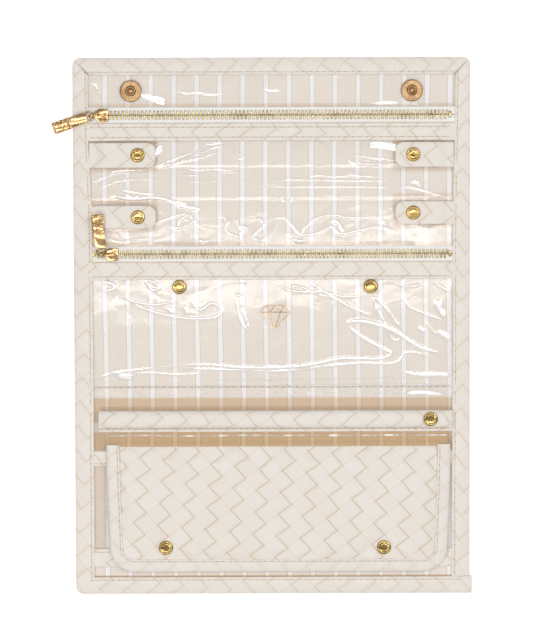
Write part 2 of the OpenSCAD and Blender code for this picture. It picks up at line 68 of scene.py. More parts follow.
topLow, topHigh = boxMm("top_bindings")
middleLow, middleHigh = boxMm("middle_bindings")
halfWide = topHigh[0]
topY = topHigh[1]
bottomY = boxMm("bottom_bindings")[0][1]
edgeTop = topHigh[2]
innerX = boxMm("upper_trim")[1][0]
stripWide = halfWide - innerX
foldGap = topLow[1] - boxMm("upper_spine_cover")[1][1]
foldTopOut = topLow[1] - foldGap / 2
foldTopIn = middleHigh[1] + foldGap / 2
foldLowIn = middleLow[1] - foldGap / 2
foldLowOut = boxMm("lower_spine_cover")[0][1] - foldGap / 2
foldLines = (foldTopOut, foldTopIn, foldLowIn, foldLowOut)
clearTop = boxMm("top_clear_front")[1][2]
liningTop = boxMm("middle_lining")[1][2]
cornerRound = 5.0

tabNames = ("upper_left", "upper_right", "lower_left", "lower_right")

# the case from top to bottom as rigid panels and the bends between them
bendReach = 5.0
upperMid = (foldTopOut + foldTopIn) / 2
lowerMid = (foldLowOut + foldLowIn) / 2
sections = [
    {"name": "top", "y0": foldTopOut + bendReach, "y1": topY, "body": "top_panel", "cad": "top"},
    {"name": "upperBendA", "y0": upperMid, "y1": foldTopOut + bendReach,
     "blend": ("upper_spine", "top_panel", foldTopOut), "cad": "upper_spine"},
    {"name": "upperBendB", "y0": foldTopIn - bendReach, "y1": upperMid,
     "blend": ("middle_panel", "upper_spine", foldTopIn), "cad": None},
    {"name": "middle", "y0": foldLowIn + bendReach, "y1": foldTopIn - bendReach,
     "body": "middle_panel", "cad": "middle"},
    {"name": "lowerBendA", "y0": lowerMid, "y1": foldLowIn + bendReach,
     "blend": ("lower_spine", "middle_panel", foldLowIn), "cad": "lower_spine"},
    {"name": "lowerBendB", "y0": foldLowOut - bendReach, "y1": lowerMid,
     "blend": ("bottom_panel", "lower_spine", foldLowOut), "cad": None},
    {"name": "bottom", "y0": bottomY, "y1": foldLowOut - bendReach, "body": "bottom_panel", "cad": "bottom"},
]


def attach(piece, section):
    # rigid panels ride with their body; the stretches over a fold line are only baked in place
    if "body" in section:
        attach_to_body(piece, section["body"])
        return
    low, high, line = section["blend"]
    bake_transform(piece)


def bodyAt(y):
    if y > foldTopOut:
        return "top_panel"
    if y > foldTopIn:
        return "upper_spine"
    if y > foldLowIn:
        return "middle_panel"
    if y > foldLowOut:
        return "lower_spine"
    return "bottom_panel"


def smoothStep(a, b, x):
    t = max(0.0, min(1.0, (x - a) / (b - a)))
    return t * t * (3 - 2 * t)


def spread(a, b, step):
    count = max(1, int(round(abs(b - a) / step)))
    return [a + (b - a) * i / count for i in range(count + 1)]


def makePiece(name, verts, faces, material, uvs=None, sharp=40):
    # verts and uvs come in millimetres
    mesh = bpy.data.meshes.new(name)
    mesh.from_pydata([(x * mm, y * mm, z * mm) for x, y, z in verts], [], faces)
    if uvs:
        layer = mesh.uv_layers.new(name="flat")
        spots = [0] * len(mesh.loops)
        mesh.loops.foreach_get("vertex_index", spots)
        flat = []
        for i in spots:
            flat.extend((uvs[i][0] * mm, uvs[i][1] * mm))
        layer.data.foreach_set("uv", flat)
    mesh.validate()
    mesh.shade_smooth()
    mesh.set_sharp_from_angle(angle=math.radians(sharp))
    mesh.materials.append(material)
    piece = bpy.data.objects.new(name, mesh)
    bpy.context.scene.collection.objects.link(piece)
    return piece


def gridFaces(rows, columns, start=0, flip=False, ring=False):
    faces = []
    span = columns if ring else columns - 1
    for r in range(rows - 1):
        for c in range(span):
            a = start + r * columns + c
            b = start + r * columns + (c + 1) % columns
            quad = (a, b, b + columns, a + columns)
            faces.append(tuple(reversed(quad)) if flip else quad)
    return faces


def openSheet(name, xs, ys, height, material, uvOf=None):
    verts = [(x, y, height(x, y)) for y in ys for x in xs]
    uvs = [uvOf(x, y) if uvOf else (x, y) for y in ys for x in xs]
    return makePiece(name, verts, gridFaces(len(ys), len(xs)), material, uvs)


def shell(name, rows, material, uvRows, capEnds=True, sharp=40):
    # rows are closed loops of the same length, joined one to the next
    columns = len(rows[0])
    verts = [p for row in rows for p in row]
    uvs = [p for row in uvRows for p in row]
    faces = gridFaces(len(rows), columns, ring=True)
    if capEnds:
        faces.append(tuple(reversed(range(columns))))
        last = (len(rows) - 1) * columns
        faces.append(tuple(range(last, last + columns)))
    return makePiece(name, verts, faces, material, uvs, sharp)


def arcLengths(points):
    total, lengths = 0.0, [0.0]
    for a, b in zip(points, points[1:]):
        total += math.dist(a, b)
        lengths.append(total)
    return lengths


def latheParts(profile, centre, segments=40):
    # profile is (radius, height) from the outside bottom to the middle of the top
    verts, faces, uvs = [], [], []
    for r, z in profile:
        for k in range(segments):
            a = 2 * math.pi * k / segments
            verts.append((centre[0] + r * math.cos(a), centre[1] + r * math.sin(a), centre[2] + z))
            uvs.append((r * math.cos(a), r * math.sin(a)))
    faces = gridFaces(len(profile), segments, ring=True)
    if profile[0][0] > 0.001:
        faces.append(tuple(reversed(range(segments))))
    if profile[-1][0] > 0.001:
        last = (len(profile) - 1) * segments
        faces.append(tuple(range(last, last + segments)))
    return verts, faces, uvs


def joinParts(parts):
    verts, faces, uvs = [], [], []
    for v, f, u in parts:
        base = len(verts)
        verts += v
        uvs += u
        faces += [tuple(i + base for i in face) for face in f]
    return verts, faces, uvs


def drawnIn(outline, inset):
    # the outline moved inwards by the same amount along every side
    count, moved = len(outline), []
    for i, (x, y) in enumerate(outline):
        ax, ay = outline[i - 1]
        bx, by = outline[(i + 1) % count]
        one, two = math.hypot(x - ax, y - ay), math.hypot(bx - x, by - y)
        n1 = (-(y - ay) / one, (x - ax) / one)
        n2 = (-(by - y) / two, (bx - x) / two)
        share = max(0.35, 1 + n1[0] * n2[0] + n1[1] * n2[1])
        moved.append((x + inset * (n1[0] + n2[0]) / share, y + inset * (n1[1] + n2[1]) / share))
    return moved


def plateParts(outline, z0, z1, bevel):
    # an outline pulled up into a plate with softened edges
    verts = []
    levels = ((z0, bevel), (z0 + bevel, 0), (z1 - bevel, 0), (z1 - bevel * 0.3, bevel * 0.35), (z1, bevel))
    for z, inset in levels:
        verts += [(x, y, z) for x, y in drawnIn(outline, inset)]
    count = len(outline)
    faces = gridFaces(5, count, ring=True)
    faces.append(tuple(reversed(range(count))))
    faces.append(tuple(range(4 * count, 5 * count)))
    return verts, faces, [(v[0], v[1]) for v in verts]


def tubeParts(path, radiusA, radiusB, sides=10, closed=False):
    # an oval wire along a path of points
    verts, faces = [], []
    count = len(path)
    for i, p in enumerate(path):
        ahead = Vector(path[(i + 1) % count] if closed or i < count - 1 else p)
        behind = Vector(path[i - 1] if closed or i > 0 else p)
        way = (ahead - behind).normalized()
        side = way.cross(Vector((0, 0, 1)))
        side = side.normalized() if side.length > 0.1 else Vector((0, 1, 0))
        up = side.cross(way).normalized()
        for k in range(sides):
            a = 2 * math.pi * k / sides
            verts.append(tuple(Vector(p) + side * math.cos(a) * radiusA + up * math.sin(a) * radiusB))
    faces = gridFaces(count, sides, ring=True)
    if closed:
        last = (count - 1) * sides
        for k in range(sides):
            faces.append((last + k, last + (k + 1) % sides, (k + 1) % sides, k))
    else:
        faces.append(tuple(reversed(range(sides))))
        faces.append(tuple(range((count - 1) * sides, count * sides)))
    return verts, faces, [(v[0], v[1]) for v in verts]


def turned(parts, pivot, degrees, lift=0.0):
    # turns parts drawn along +X about a pivot, after lifting their far end
    verts, faces, uvs = parts
    a, l = math.radians(degrees), math.radians(lift)
    out = []
    for x, y, z in verts:
        x, z = x * math.cos(l) - z * math.sin(l), x * math.sin(l) + z * math.cos(l)
        x, y = x * math.cos(a) - y * math.sin(a), x * math.sin(a) + y * math.cos(a)
        out.append((x + pivot[0], y + pivot[1], z + pivot[2]))
    return out, faces, uvs


def put(tree, kind, inputs=None, **settings):
    node = tree.nodes.new(kind)
    for key, value in settings.items():
        setattr(node, key, value)
    for key, value in (inputs or {}).items():
        socket = node.inputs[key]
        if isinstance(value, bpy.types.NodeSocket):
            tree.links.new(value, socket)
        else:
            socket.default_value = value
    return node


def sums(tree, operation, a, b=0.0, c=0.0):
    return put(tree, "ShaderNodeMath", {0: a, 1: b, 2: c}, operation=operation).outputs[0]


def ramped(tree, value, low, high, outLow=0.0, outHigh=1.0):
    node = put(tree, "ShaderNodeMapRange", {0: value, 1: low, 2: high, 3: outLow, 4: outHigh},
               interpolation_type="SMOOTHSTEP")
    return node.outputs[0]


def mixColor(tree, factor, a, b, blend="MIX"):
    node = tree.nodes.new("ShaderNodeMix")
    node.data_type = "RGBA"
    node.blend_type = blend
    for socket, value in ((node.inputs[0], factor), (node.inputs[6], a), (node.inputs[7], b)):
        if isinstance(value, bpy.types.NodeSocket):
            tree.links.new(value, socket)
        else:
            socket.default_value = value if socket is node.inputs[0] else (*value, 1.0)
    return node.outputs[2]


def newGroup(name, inputs, outputs):
    tree = bpy.data.node_groups.new(name, "ShaderNodeTree")
    for label, kind, value in inputs:
        socket = tree.interface.new_socket(name=label, in_out="INPUT", socket_type=kind)
        if value is not None:
            socket.default_value = value
    for label, kind in outputs:
        tree.interface.new_socket(name=label, in_out="OUTPUT", socket_type=kind)
    source = tree.nodes.new("NodeGroupInput")
    sink = tree.nodes.new("NodeGroupOutput")
    return tree, source.outputs, sink.inputs


def useGroup(tree, group, inputs):
    node = tree.nodes.new("ShaderNodeGroup")
    node.node_tree = group
    for key, value in inputs.items():
        if isinstance(value, bpy.types.NodeSocket):
            tree.links.new(value, node.inputs[key])
        else:
            node.inputs[key].default_value = value
    return node.outputs


def newMaterial(name, **constants):
    material = bpy.data.materials.new(name)
    material.use_nodes = True
    tree = material.node_tree
    shader = tree.nodes["Principled BSDF"]
    for key, value in constants.items():
        shader.inputs[key].default_value = value
    return material, tree, shader


def srgb(r, g, b):
    def one(c):
        c /= 255
        return c / 12.92 if c <= 0.04045 else ((c + 0.055) / 1.055) ** 2.4
    return (one(r), one(g), one(b))


weaveSet = {  # the woven pattern's two edge directions and one crossing, in millimetres
    "alongA": (7.01, -7.75),
    "alongB": (8.31, 6.28),
    "start": (-24.2, -89.3),
}


def weaveNumbers():
    ax, ay = weaveSet["alongA"]
    bx, by = weaveSet["alongB"]
    det = ax * by - ay * bx
    rows = []
    for row in ((by / det, -bx / det), (-ay / det, ax / det)):
        rows.append((*row, -row[0] * weaveSet["start"][0] - row[1] * weaveSet["start"][1]))
    return rows


def weaveRelief(x, y):
    # height from 0 in a groove to 1 on top of a strand
    (sx, sy, s0), (tx, ty, t0) = weaveNumbers()
    s, t = sx * x + sy * y + s0, tx * x + ty * y + t0
    fs, ft = s - math.floor(s), t - math.floor(t)
    if (math.floor(s) + math.floor(t)) % 2 == 0:
        near = min(fs, ft)
    else:
        near = min(1 - fs, 1 - ft)
    return smoothStep(0.0, 0.32, near)


def buildWeave():
    tree, given, wanted = newGroup(
        "strandWeave",
        [("Flat", "NodeSocketVector", None), ("Line Width", "NodeSocketFloat", 0.045)],
        [("Line", "NodeSocketFloat"), ("Faint", "NodeSocketFloat"), ("Height", "NodeSocketFloat"),
         ("Strand", "NodeSocketFloat")])
    rowS, rowT = weaveNumbers()

    def turn(row):
        vector = (row[0] / mm, row[1] / mm, 0.0)
        wobble = put(tree, "ShaderNodeTexNoise", {"Vector": given["Flat"], "Scale": 140.0, "Detail": 1.0})
        shake = sums(tree, "MULTIPLY_ADD", wobble.outputs[0], 0.12, row[2] - 0.06)
        dot = put(tree, "ShaderNodeVectorMath", {0: given["Flat"], 1: vector}, operation="DOT_PRODUCT")
        return sums(tree, "ADD", dot.outputs["Value"], shake)

    s, t = turn(rowS), turn(rowT)

    def edge(own, other):
        line = sums(tree, "ROUND", own)
        far = sums(tree, "ABSOLUTE", sums(tree, "SUBTRACT", own, line))
        total = sums(tree, "ADD", line, sums(tree, "FLOOR", other))
        odd = sums(tree, "FLOORED_MODULO", total, 2.0)
        odd = sums(tree, "GREATER_THAN", odd, 0.5)
        thin = ramped(tree, far, given["Line Width"], 0.008, 0.0, 1.0)
        strong = sums(tree, "MULTIPLY", thin, sums(tree, "SUBTRACT", 1.0, odd))
        return strong, sums(tree, "MULTIPLY", thin, odd)

    strongS, faintS = edge(s, t)
    strongT, faintT = edge(t, s)
    floorS, floorT = sums(tree, "FLOOR", s), sums(tree, "FLOOR", t)
    parity = sums(tree, "FLOORED_MODULO", sums(tree, "ADD", floorS, floorT), 2.0)
    odd = sums(tree, "GREATER_THAN", parity, 0.5)
    fs, ft = sums(tree, "FRACT", s), sums(tree, "FRACT", t)
    low = sums(tree, "MINIMUM", fs, ft)
    high = sums(tree, "MINIMUM", sums(tree, "SUBTRACT", 1.0, fs), sums(tree, "SUBTRACT", 1.0, ft))
    near = sums(tree, "ADD", sums(tree, "MULTIPLY", low, sums(tree, "SUBTRACT", 1.0, odd)),
                sums(tree, "MULTIPLY", high, odd))
    cell = put(tree, "ShaderNodeCombineXYZ", {0: floorS, 1: floorT, 2: 0.5})
    tone = put(tree, "ShaderNodeTexWhiteNoise", {"Vector": cell.outputs[0]}, noise_dimensions="3D")
    links = tree.links
    links.new(sums(tree, "MAXIMUM", strongS, strongT), wanted["Line"])
    links.new(sums(tree, "MAXIMUM", faintS, faintT), wanted["Faint"])
    links.new(ramped(tree, near, 0.0, 0.3), wanted["Height"])
    links.new(tone.outputs["Value"], wanted["Strand"])
    return tree


def buildGrain():
    tree, given, wanted = newGroup(
        "leatherGrain",
        [("Flat", "NodeSocketVector", None), ("Size", "NodeSocketFloat", 900.0)],
        [("Height", "NodeSocketFloat"), ("Tone", "NodeSocketFloat"), ("Soil", "NodeSocketFloat")])
    cells = put(tree, "ShaderNodeTexVoronoi", {"Vector": given["Flat"], "Scale": given["Size"]},
                feature="DISTANCE_TO_EDGE")
    fine = put(tree, "ShaderNodeTexNoise", {"Vector": given["Flat"], "Scale": 2600.0, "Detail": 3.0})
    broad = put(tree, "ShaderNodeTexNoise", {"Vector": given["Flat"], "Scale": 26.0, "Detail": 3.0})
    spots = put(tree, "ShaderNodeTexNoise", {"Vector": given["Flat"], "Scale": 160.0, "Detail": 4.0})
    pebble = ramped(tree, cells.outputs[0], 0.0, 0.35)
    height = sums(tree, "MULTIPLY_ADD", fine.outputs[0], 0.35, pebble)
    tree.links.new(height, wanted["Height"])
    tree.links.new(broad.outputs[0], wanted["Tone"])
    tree.links.new(ramped(tree, spots.outputs[0], 0.56, 0.78), wanted["Soil"])
    return tree


def buildCloth():
    tree, given, wanted = newGroup(
        "threadCloth",
        [("Flat", "NodeSocketVector", None), ("Threads", "NodeSocketFloat", 2600.0)],
        [("Height", "NodeSocketFloat"), ("Tone", "NodeSocketFloat")])
    parts = put(tree, "ShaderNodeSeparateXYZ", {0: given["Flat"]})
    x = sums(tree, "MULTIPLY", parts.outputs[0], given["Threads"])
    y = sums(tree, "MULTIPLY", parts.outputs[1], given["Threads"])
    twill = sums(tree, "SINE", sums(tree, "MULTIPLY", sums(tree, "ADD", x, y), 3.1416))
    cross = sums(tree, "SINE", sums(tree, "MULTIPLY", sums(tree, "SUBTRACT", x, y), 6.2832))
    uneven = put(tree, "ShaderNodeTexNoise", {"Vector": given["Flat"], "Scale": 500.0, "Detail": 2.0})
    height = sums(tree, "MULTIPLY_ADD", cross, 0.3, twill)
    tree.links.new(sums(tree, "MULTIPLY_ADD", uneven.outputs[0], 0.8, height), wanted["Height"])
    tree.links.new(uneven.outputs[0], wanted["Tone"])
    return tree


weaveGroup, grainGroup, clothGroup = buildWeave(), buildGrain(), buildCloth()

leatherSet = {
    "face": srgb(240, 232, 222),
    "pale": srgb(244, 238, 231),
    "line": srgb(214, 190, 150),
    "faint": srgb(228, 217, 203),
    "soilAndShade": srgb(232, 221, 207),
}


def wovenLeather(name, lineWidth, relief, lineStrength=0.95):
    material, tree, shader = newMaterial(name, **{"Coat Roughness": 0.35, "Specular IOR Level": 0.45})
    flat = tree.nodes.new("ShaderNodeUVMap").outputs[0]
    weave = useGroup(tree, weaveGroup, {"Flat": flat, "Line Width": lineWidth})
    grain = useGroup(tree, grainGroup, {"Flat": flat, "Size": 1100.0})
    base = mixColor(tree, grain["Tone"], leatherSet["face"], leatherSet["pale"])
    base = mixColor(tree, sums(tree, "MULTIPLY", weave["Strand"], 0.25), base, leatherSet["soilAndShade"])
    base = mixColor(tree, sums(tree, "MULTIPLY", grain["Soil"], 0.35), base, leatherSet["soilAndShade"])
    # painted shade: the weave's grooves are darkened towards the soil-and-shade colour, which also gives the
    # random strand tones and soil spots
    grooveShade = sums(tree, "MULTIPLY", sums(tree, "SUBTRACT", 1.0, weave["Height"]), 0.28)
    base = mixColor(tree, grooveShade, base, leatherSet["soilAndShade"])
    base = mixColor(tree, sums(tree, "MULTIPLY", weave["Faint"], 0.55), base, leatherSet["faint"])
    base = mixColor(tree, sums(tree, "MULTIPLY", weave["Line"], lineStrength), base, leatherSet["line"])
    tree.links.new(base, shader.inputs["Base Color"])
    tree.links.new(ramped(tree, grain["Tone"], 0.2, 0.8, 0.42, 0.56), shader.inputs["Roughness"])
    woven = sums(tree, "MULTIPLY", weave["Height"], relief)
    height = sums(tree, "MULTIPLY_ADD", grain["Height"], 0.05, woven)
    height = sums(tree, "SUBTRACT", height, sums(tree, "MULTIPLY", weave["Line"], 0.25))
    height = sums(tree, "SUBTRACT", height, sums(tree, "MULTIPLY", weave["Faint"], 0.10))
    bump = put(tree, "ShaderNodeBump", {"Height": height, "Strength": 0.55, "Distance": 0.0006})
    tree.links.new(bump.outputs[0], shader.inputs["Normal"])
    return material


liningSet = {
    "cloth": srgb(240, 231, 222),
    "stripe": srgb(250, 250, 252),
    "outline": srgb(214, 190, 160),
    "pitch": 14.75,
    "stripeWide": 2.9,
    "firstStripe": -3.65,
    "outlineWide": 0.42,
    "shade": (0.74, 0.56, 0.36),
}


def shadePlaces():
    # (x0, x1, y0, y1, soft, strength) where raised pieces keep the light off the lining
    wide = halfWide
    barTop, flapTop = boxMm("ring_bar_cover")[1][1], boxMm("flap_binding")[1][1]
    stripLow, frontLow = boxMm("top_clear_strip")[0][1], boxMm("middle_clear_front")[0][1]
    places = [
        (-wide, wide, stripLow - 1, stripLow + 2.2, 0.5, 0.42),
        (-wide, wide, frontLow - 1, frontLow + 2.6, 0.9, 0.42),
        (-wide, wide, barTop - 8, barTop + 8.0, 1.0, 0.72),
        (-wide, wide, flapTop - 4, barTop - 14, 1.0, 1.0),
        (-wide, wide, bottomY + stripWide - 2, bottomY + stripWide + 0.9, 0.5, 0.8),
        (-wide, -innerX + 8.6, boxMm("flap_binding")[0][1] + 8, flapTop, 1.2, 0.3),
        (-innerX + 6, -innerX + 8.8, boxMm("flap_binding")[0][1] + 12, flapTop, 0.8, 0.4),
    ]
    for tab in tabNames:
        low, high = boxMm(tab + "_tab")
        x0, x1 = (-wide, high[0] + 1.2) if "left" in tab else (low[0] - 1.2, wide)
        above = 1.0 if "upper" in tab else 5.0
        places.append((x0, x1, low[1] - 2.6, high[1] + above, 1.4, 0.42))
        if "upper" in tab:
            places.append((x0, x1, high[1] - 0.5, high[1] + 0.8, 0.3, 1.6))
    return places


def edgeMask(tree, value, low, high, soft):
    rise = ramped(tree, value, (low - soft) * mm, (low + soft) * mm)
    fall = ramped(tree, value, (high + soft) * mm, (high - soft) * mm)
    return sums(tree, "MULTIPLY", rise, fall)


def shadeMask(tree, x, y, places):
    total = None
    for x0, x1, y0, y1, soft, strength in places:
        one = edgeMask(tree, y, y0, y1, soft)
        if x1 - x0 < 2 * halfWide:
            one = sums(tree, "MULTIPLY", one, edgeMask(tree, x, x0, x1, soft))
        one = sums(tree, "MULTIPLY", one, strength)
        total = one if total is None else sums(tree, "MAXIMUM", total, one)
    return total


def stripedCloth():
    material, tree, shader = newMaterial("stripedLining", **{"Sheen Weight": 0.15, "Sheen Roughness": 0.5,
                                                            "Specular IOR Level": 0.25})
    flat = tree.nodes.new("ShaderNodeUVMap").outputs[0]
    cloth = useGroup(tree, clothGroup, {"Flat": flat, "Threads": 1700.0})
    split = put(tree, "ShaderNodeSeparateXYZ", {0: flat})
    x, y = split.outputs[0], split.outputs[1]
    across = sums(tree, "MULTIPLY_ADD", x, 1 / (liningSet["pitch"] * mm),
                  -liningSet["firstStripe"] / liningSet["pitch"])
    far = sums(tree, "ABSOLUTE", sums(tree, "SUBTRACT", across, sums(tree, "ROUND", across)))
    far = sums(tree, "MULTIPLY", far, liningSet["pitch"])
    half = liningSet["stripeWide"] / 2
    stripe = ramped(tree, far, half + 0.06, half - 0.06)
    ring = sums(tree, "ABSOLUTE", sums(tree, "SUBTRACT", far, half + liningSet["outlineWide"] / 2))
    outline = ramped(tree, ring, liningSet["outlineWide"] * 0.75, liningSet["outlineWide"] * 0.3)
    base = mixColor(tree, sums(tree, "MULTIPLY", cloth["Tone"], 0.3), liningSet["cloth"],
                    srgb(244, 236, 227))
    base = mixColor(tree, sums(tree, "MULTIPLY", outline, 0.65), base, liningSet["outline"])
    base = mixColor(tree, stripe, base, liningSet["stripe"])
    base = mixColor(tree, shadeMask(tree, x, y, shadePlaces()), base, liningSet["shade"], "MULTIPLY")
    tree.links.new(base, shader.inputs["Base Color"])
    tree.links.new(ramped(tree, cloth["Tone"], 0.3, 0.7, 0.72, 0.86), shader.inputs["Roughness"])
    bump = put(tree, "ShaderNodeBump", {"Height": cloth["Height"], "Strength": 0.3, "Distance": 0.0002})
    tree.links.new(bump.outputs[0], shader.inputs["Normal"])
    return material


def clearVinyl():
    material, tree, shader = newMaterial(
        "clearVinyl", **{"Base Color": (1.0, 0.985, 0.96, 1.0), "IOR": 2.3, "Specular IOR Level": 1.0,
                        "Emission Strength": 0.18})
    flat = tree.nodes.new("ShaderNodeUVMap").outputs[0]
    ripple = put(tree, "ShaderNodeTexNoise",
                 {"Vector": flat, "Scale": 55.0, "Detail": 2.0, "Distortion": 0.5})
    haze = put(tree, "ShaderNodeTexNoise", {"Vector": flat, "Scale": 24.0, "Detail": 3.0})
    bump = put(tree, "ShaderNodeBump", {"Height": ripple.outputs[0], "Strength": 0.1, "Distance": 0.0015})
    tree.links.new(bump.outputs[0], shader.inputs["Normal"])
    facing = put(tree, "ShaderNodeLayerWeight", {"Blend": 0.35, "Normal": bump.outputs[0]}).outputs["Facing"]
    cloudy = ramped(tree, haze.outputs[0], 0.35, 0.7, 0.10, 0.17)
    cloudy = sums(tree, "ADD", cloudy, ramped(tree, facing, 0.02, 0.7, 0.0, 0.6))
    # painted glints: a stored strength per point makes the vinyl more opaque and glow warm white along its
    # creases
    glintMask = tree.nodes.new("ShaderNodeAttribute")
    glintMask.attribute_name = "paintedGlint"
    lines = ramped(tree, glintMask.outputs["Fac"], 0.04, 0.95, 0.0, 0.85)
    tree.links.new(sums(tree, "ADD", cloudy, lines), shader.inputs["Alpha"])
    glow = mixColor(tree, ramped(tree, glintMask.outputs["Fac"], 0.3, 0.9), (0, 0, 0), (1.0, 0.97, 0.9))
    tree.links.new(glow, shader.inputs["Emission Color"])
    tree.links.new(ramped(tree, ripple.outputs[0], 0.3, 0.7, 0.05, 0.11), shader.inputs["Roughness"])
    return material


def tapeCloth():
    material, tree, shader = newMaterial("zipTape", **{"Sheen Weight": 0.2, "Specular IOR Level": 0.3})
    flat = tree.nodes.new("ShaderNodeUVMap").outputs[0]
    cloth = useGroup(tree, clothGroup, {"Flat": flat, "Threads": 1200.0})
    base = mixColor(tree, cloth["Tone"], srgb(247, 246, 243), srgb(254, 253, 251))
    y = put(tree, "ShaderNodeSeparateXYZ", {0: flat}).outputs[1]
    # painted shadow: a tan band on the tape along each trim's edge, where the trim keeps the light off
    tan = None
    for trim in ("upper_trim", "lower_trim"):
        low = boxMm(trim)[1][1]
        one = edgeMask(tree, y, low - 2, low + 0.5, 0.35)
        tan = one if tan is None else sums(tree, "MAXIMUM", tan, one)
    base = mixColor(tree, sums(tree, "MULTIPLY", tan, 0.8), base, liningSet["shade"], "MULTIPLY")
    tree.links.new(base, shader.inputs["Base Color"])
    tree.links.new(ramped(tree, cloth["Tone"], 0.3, 0.7, 0.66, 0.82), shader.inputs["Roughness"])
    bump = put(tree, "ShaderNodeBump", {"Height": cloth["Height"], "Strength": 0.3, "Distance": 0.0002})
    tree.links.new(bump.outputs[0], shader.inputs["Normal"])
    return material


def metalFinish(name, bright, dull, rough, brushed, stretch=(1.0, 1.0, 1.0)):
    material, tree, shader = newMaterial(name, **{"Metallic": 1.0})
    place = tree.nodes.new("ShaderNodeTexCoord").outputs["Object"]
    shaped = put(tree, "ShaderNodeMapping", {0: place, 3: stretch}).outputs[0]
    marks = put(tree, "ShaderNodeTexNoise", {"Vector": shaped, "Scale": 900.0, "Detail": 4.0})
    broad = put(tree, "ShaderNodeTexNoise", {"Vector": place, "Scale": 130.0, "Detail": 2.0})
    base = mixColor(tree, ramped(tree, broad.outputs[0], 0.3, 0.75), bright, dull)
    tree.links.new(base, shader.inputs["Base Color"])
    dullness = ramped(tree, marks.outputs[0], 0.3, 0.75, rough, rough + 0.14)
    tree.links.new(dullness, shader.inputs["Roughness"])
    bump = put(tree, "ShaderNodeBump", {"Height": marks.outputs[0], "Strength": brushed, "Distance": 0.0002})
    tree.links.new(bump.outputs[0], shader.inputs["Normal"])
    return material


def plainGrain(name, dark, light, rough, scale):
    # a small surface with only a fine uneven tone, such as thread or a cut edge
    material, tree, shader = newMaterial(name, **{"Specular IOR Level": 0.3})
    place = tree.nodes.new("ShaderNodeTexCoord").outputs["Object"]
    marks = put(tree, "ShaderNodeTexNoise", {"Vector": place, "Scale": scale, "Detail": 3.0})
    tree.links.new(mixColor(tree, marks.outputs[0], dark, light), shader.inputs["Base Color"])
    tree.links.new(ramped(tree, marks.outputs[0], 0.3, 0.7, rough, rough + 0.12), shader.inputs["Roughness"])
    bump = put(tree, "ShaderNodeBump", {"Height": marks.outputs[0], "Strength": 0.4, "Distance": 0.0002})
    tree.links.new(bump.outputs[0], shader.inputs["Normal"])
    return material


coverLeather = wovenLeather("coverLeather", 0.04, 0.5, 0.75)
edgeLeather = wovenLeather("edgeLeather", 0.038, 0.45, 0.55)
rimLeather = wovenLeather("rimLeather", 0.03, 0.3, 0.3)
flapLeather = wovenLeather("flapLeather", 0.042, 0.3, 0.95)
liningCloth = stripedCloth()
vinyl = clearVinyl()
zipCloth = tapeCloth()
gold = metalFinish("polishedGold", srgb(226, 190, 140), srgb(192, 154, 106), 0.10, 0.03)
brass = metalFinish("toothBrass", srgb(206, 188, 142), srgb(158, 136, 92), 0.24, 0.1)
capGold = metalFinish("capGold", srgb(206, 178, 118), srgb(158, 130, 78), 0.07, 0.0)
antiqueGold = metalFinish("antiqueGold", srgb(188, 154, 116), srgb(160, 126, 92), 0.3, 0.3, (1.0, 9.0, 1.0))
threadCotton = plainGrain("threadCotton", srgb(214, 203, 186), srgb(238, 231, 220), 0.6, 4000.0)
holeShade = plainGrain("needleHole", srgb(158, 138, 108), srgb(184, 164, 132), 0.8, 3000.0)
rawEdge = plainGrain("rawEdge", srgb(236, 230, 220), srgb(250, 247, 242), 0.7, 1500.0)

print("materials made")


def rounded(x, y):
    # brings three square corners of the case in to their round ones
    r = cornerRound
    for sx, sy in ((-1, 1), (1, 1), (-1, -1)):
        edgeY = topY if sy > 0 else -bottomY
        a, b = sx * x - (halfWide - r), sy * y - (edgeY - r)
        if a > 0 and b > 0:
            pull = max(a, b) / math.hypot(a, b)
            return sx * (halfWide - r + a * pull), sy * (edgeY - r + b * pull)
    return x, y


coverSet = {"step": 4.0}


def buildCover():
    # the leather back and its foam, as one soft slab under the lining
    high = liningTop - 0.45
    for section in sections:
        xs = spread(-innerX + 0.15, innerX - 0.15, coverSet["step"])
        low = section["y0"] + (stripWide + 0.15 if section["name"] == "bottom" else 0)
        top = section["y1"] - (stripWide + 0.15 if section["name"] == "top" else 0)
        ys = spread(low, top, 1.2 if "blend" in section else coverSet["step"])
        verts, uvs = [], []
        for z in (0.0, high):
            for y in ys:
                for x in xs:
                    soft = 0.0 if z else 0.06 * (1 - smoothStep(0, 3, innerX - abs(x)))
                    verts.append((x, y, z + soft))
                    uvs.append((x, y))
        count = len(xs) * len(ys)
        faces = gridFaces(len(ys), len(xs), flip=True) + gridFaces(len(ys), len(xs), count)
        rim = [i for i in range(len(xs))]
        rim += [r * len(xs) + len(xs) - 1 for r in range(1, len(ys))]
        rim += [(len(ys) - 1) * len(xs) + i for i in range(len(xs) - 2, -1, -1)]
        rim += [r * len(xs) for r in range(len(ys) - 2, 0, -1)]
        for a, b in zip(rim, rim[1:] + rim[:1]):
            faces.append((a, b, b + count, a + count))
        piece = makePiece("cover_" + section["name"], verts, faces, coverLeather, uvs)
        attach(piece, section)
        cad = section["cad"]
        if cad:
            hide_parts(cad + "_cover")
            if cad in ("top", "middle", "bottom"):
                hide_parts(cad + "_padding")


edgeSet = {"stitchIn": 9.4, "stitchHigh": edgeTop + 0.5, "wave": 0.16, "seam": 0.2}


def edgeWide(sign, y):
    # the side strips weren't sewn on quite parallel
    if sign < 0:
        wide = 10.2 + 2.3 * smoothStep(130, 60, y)
    else:
        wide = 9.7 + 1.6 * smoothStep(165, 60, y) + 0.6 * smoothStep(0, -120, y)
    return wide + 0.25 * noise.noise(Vector((sign * 3.0, y * 0.03, 8.0)))


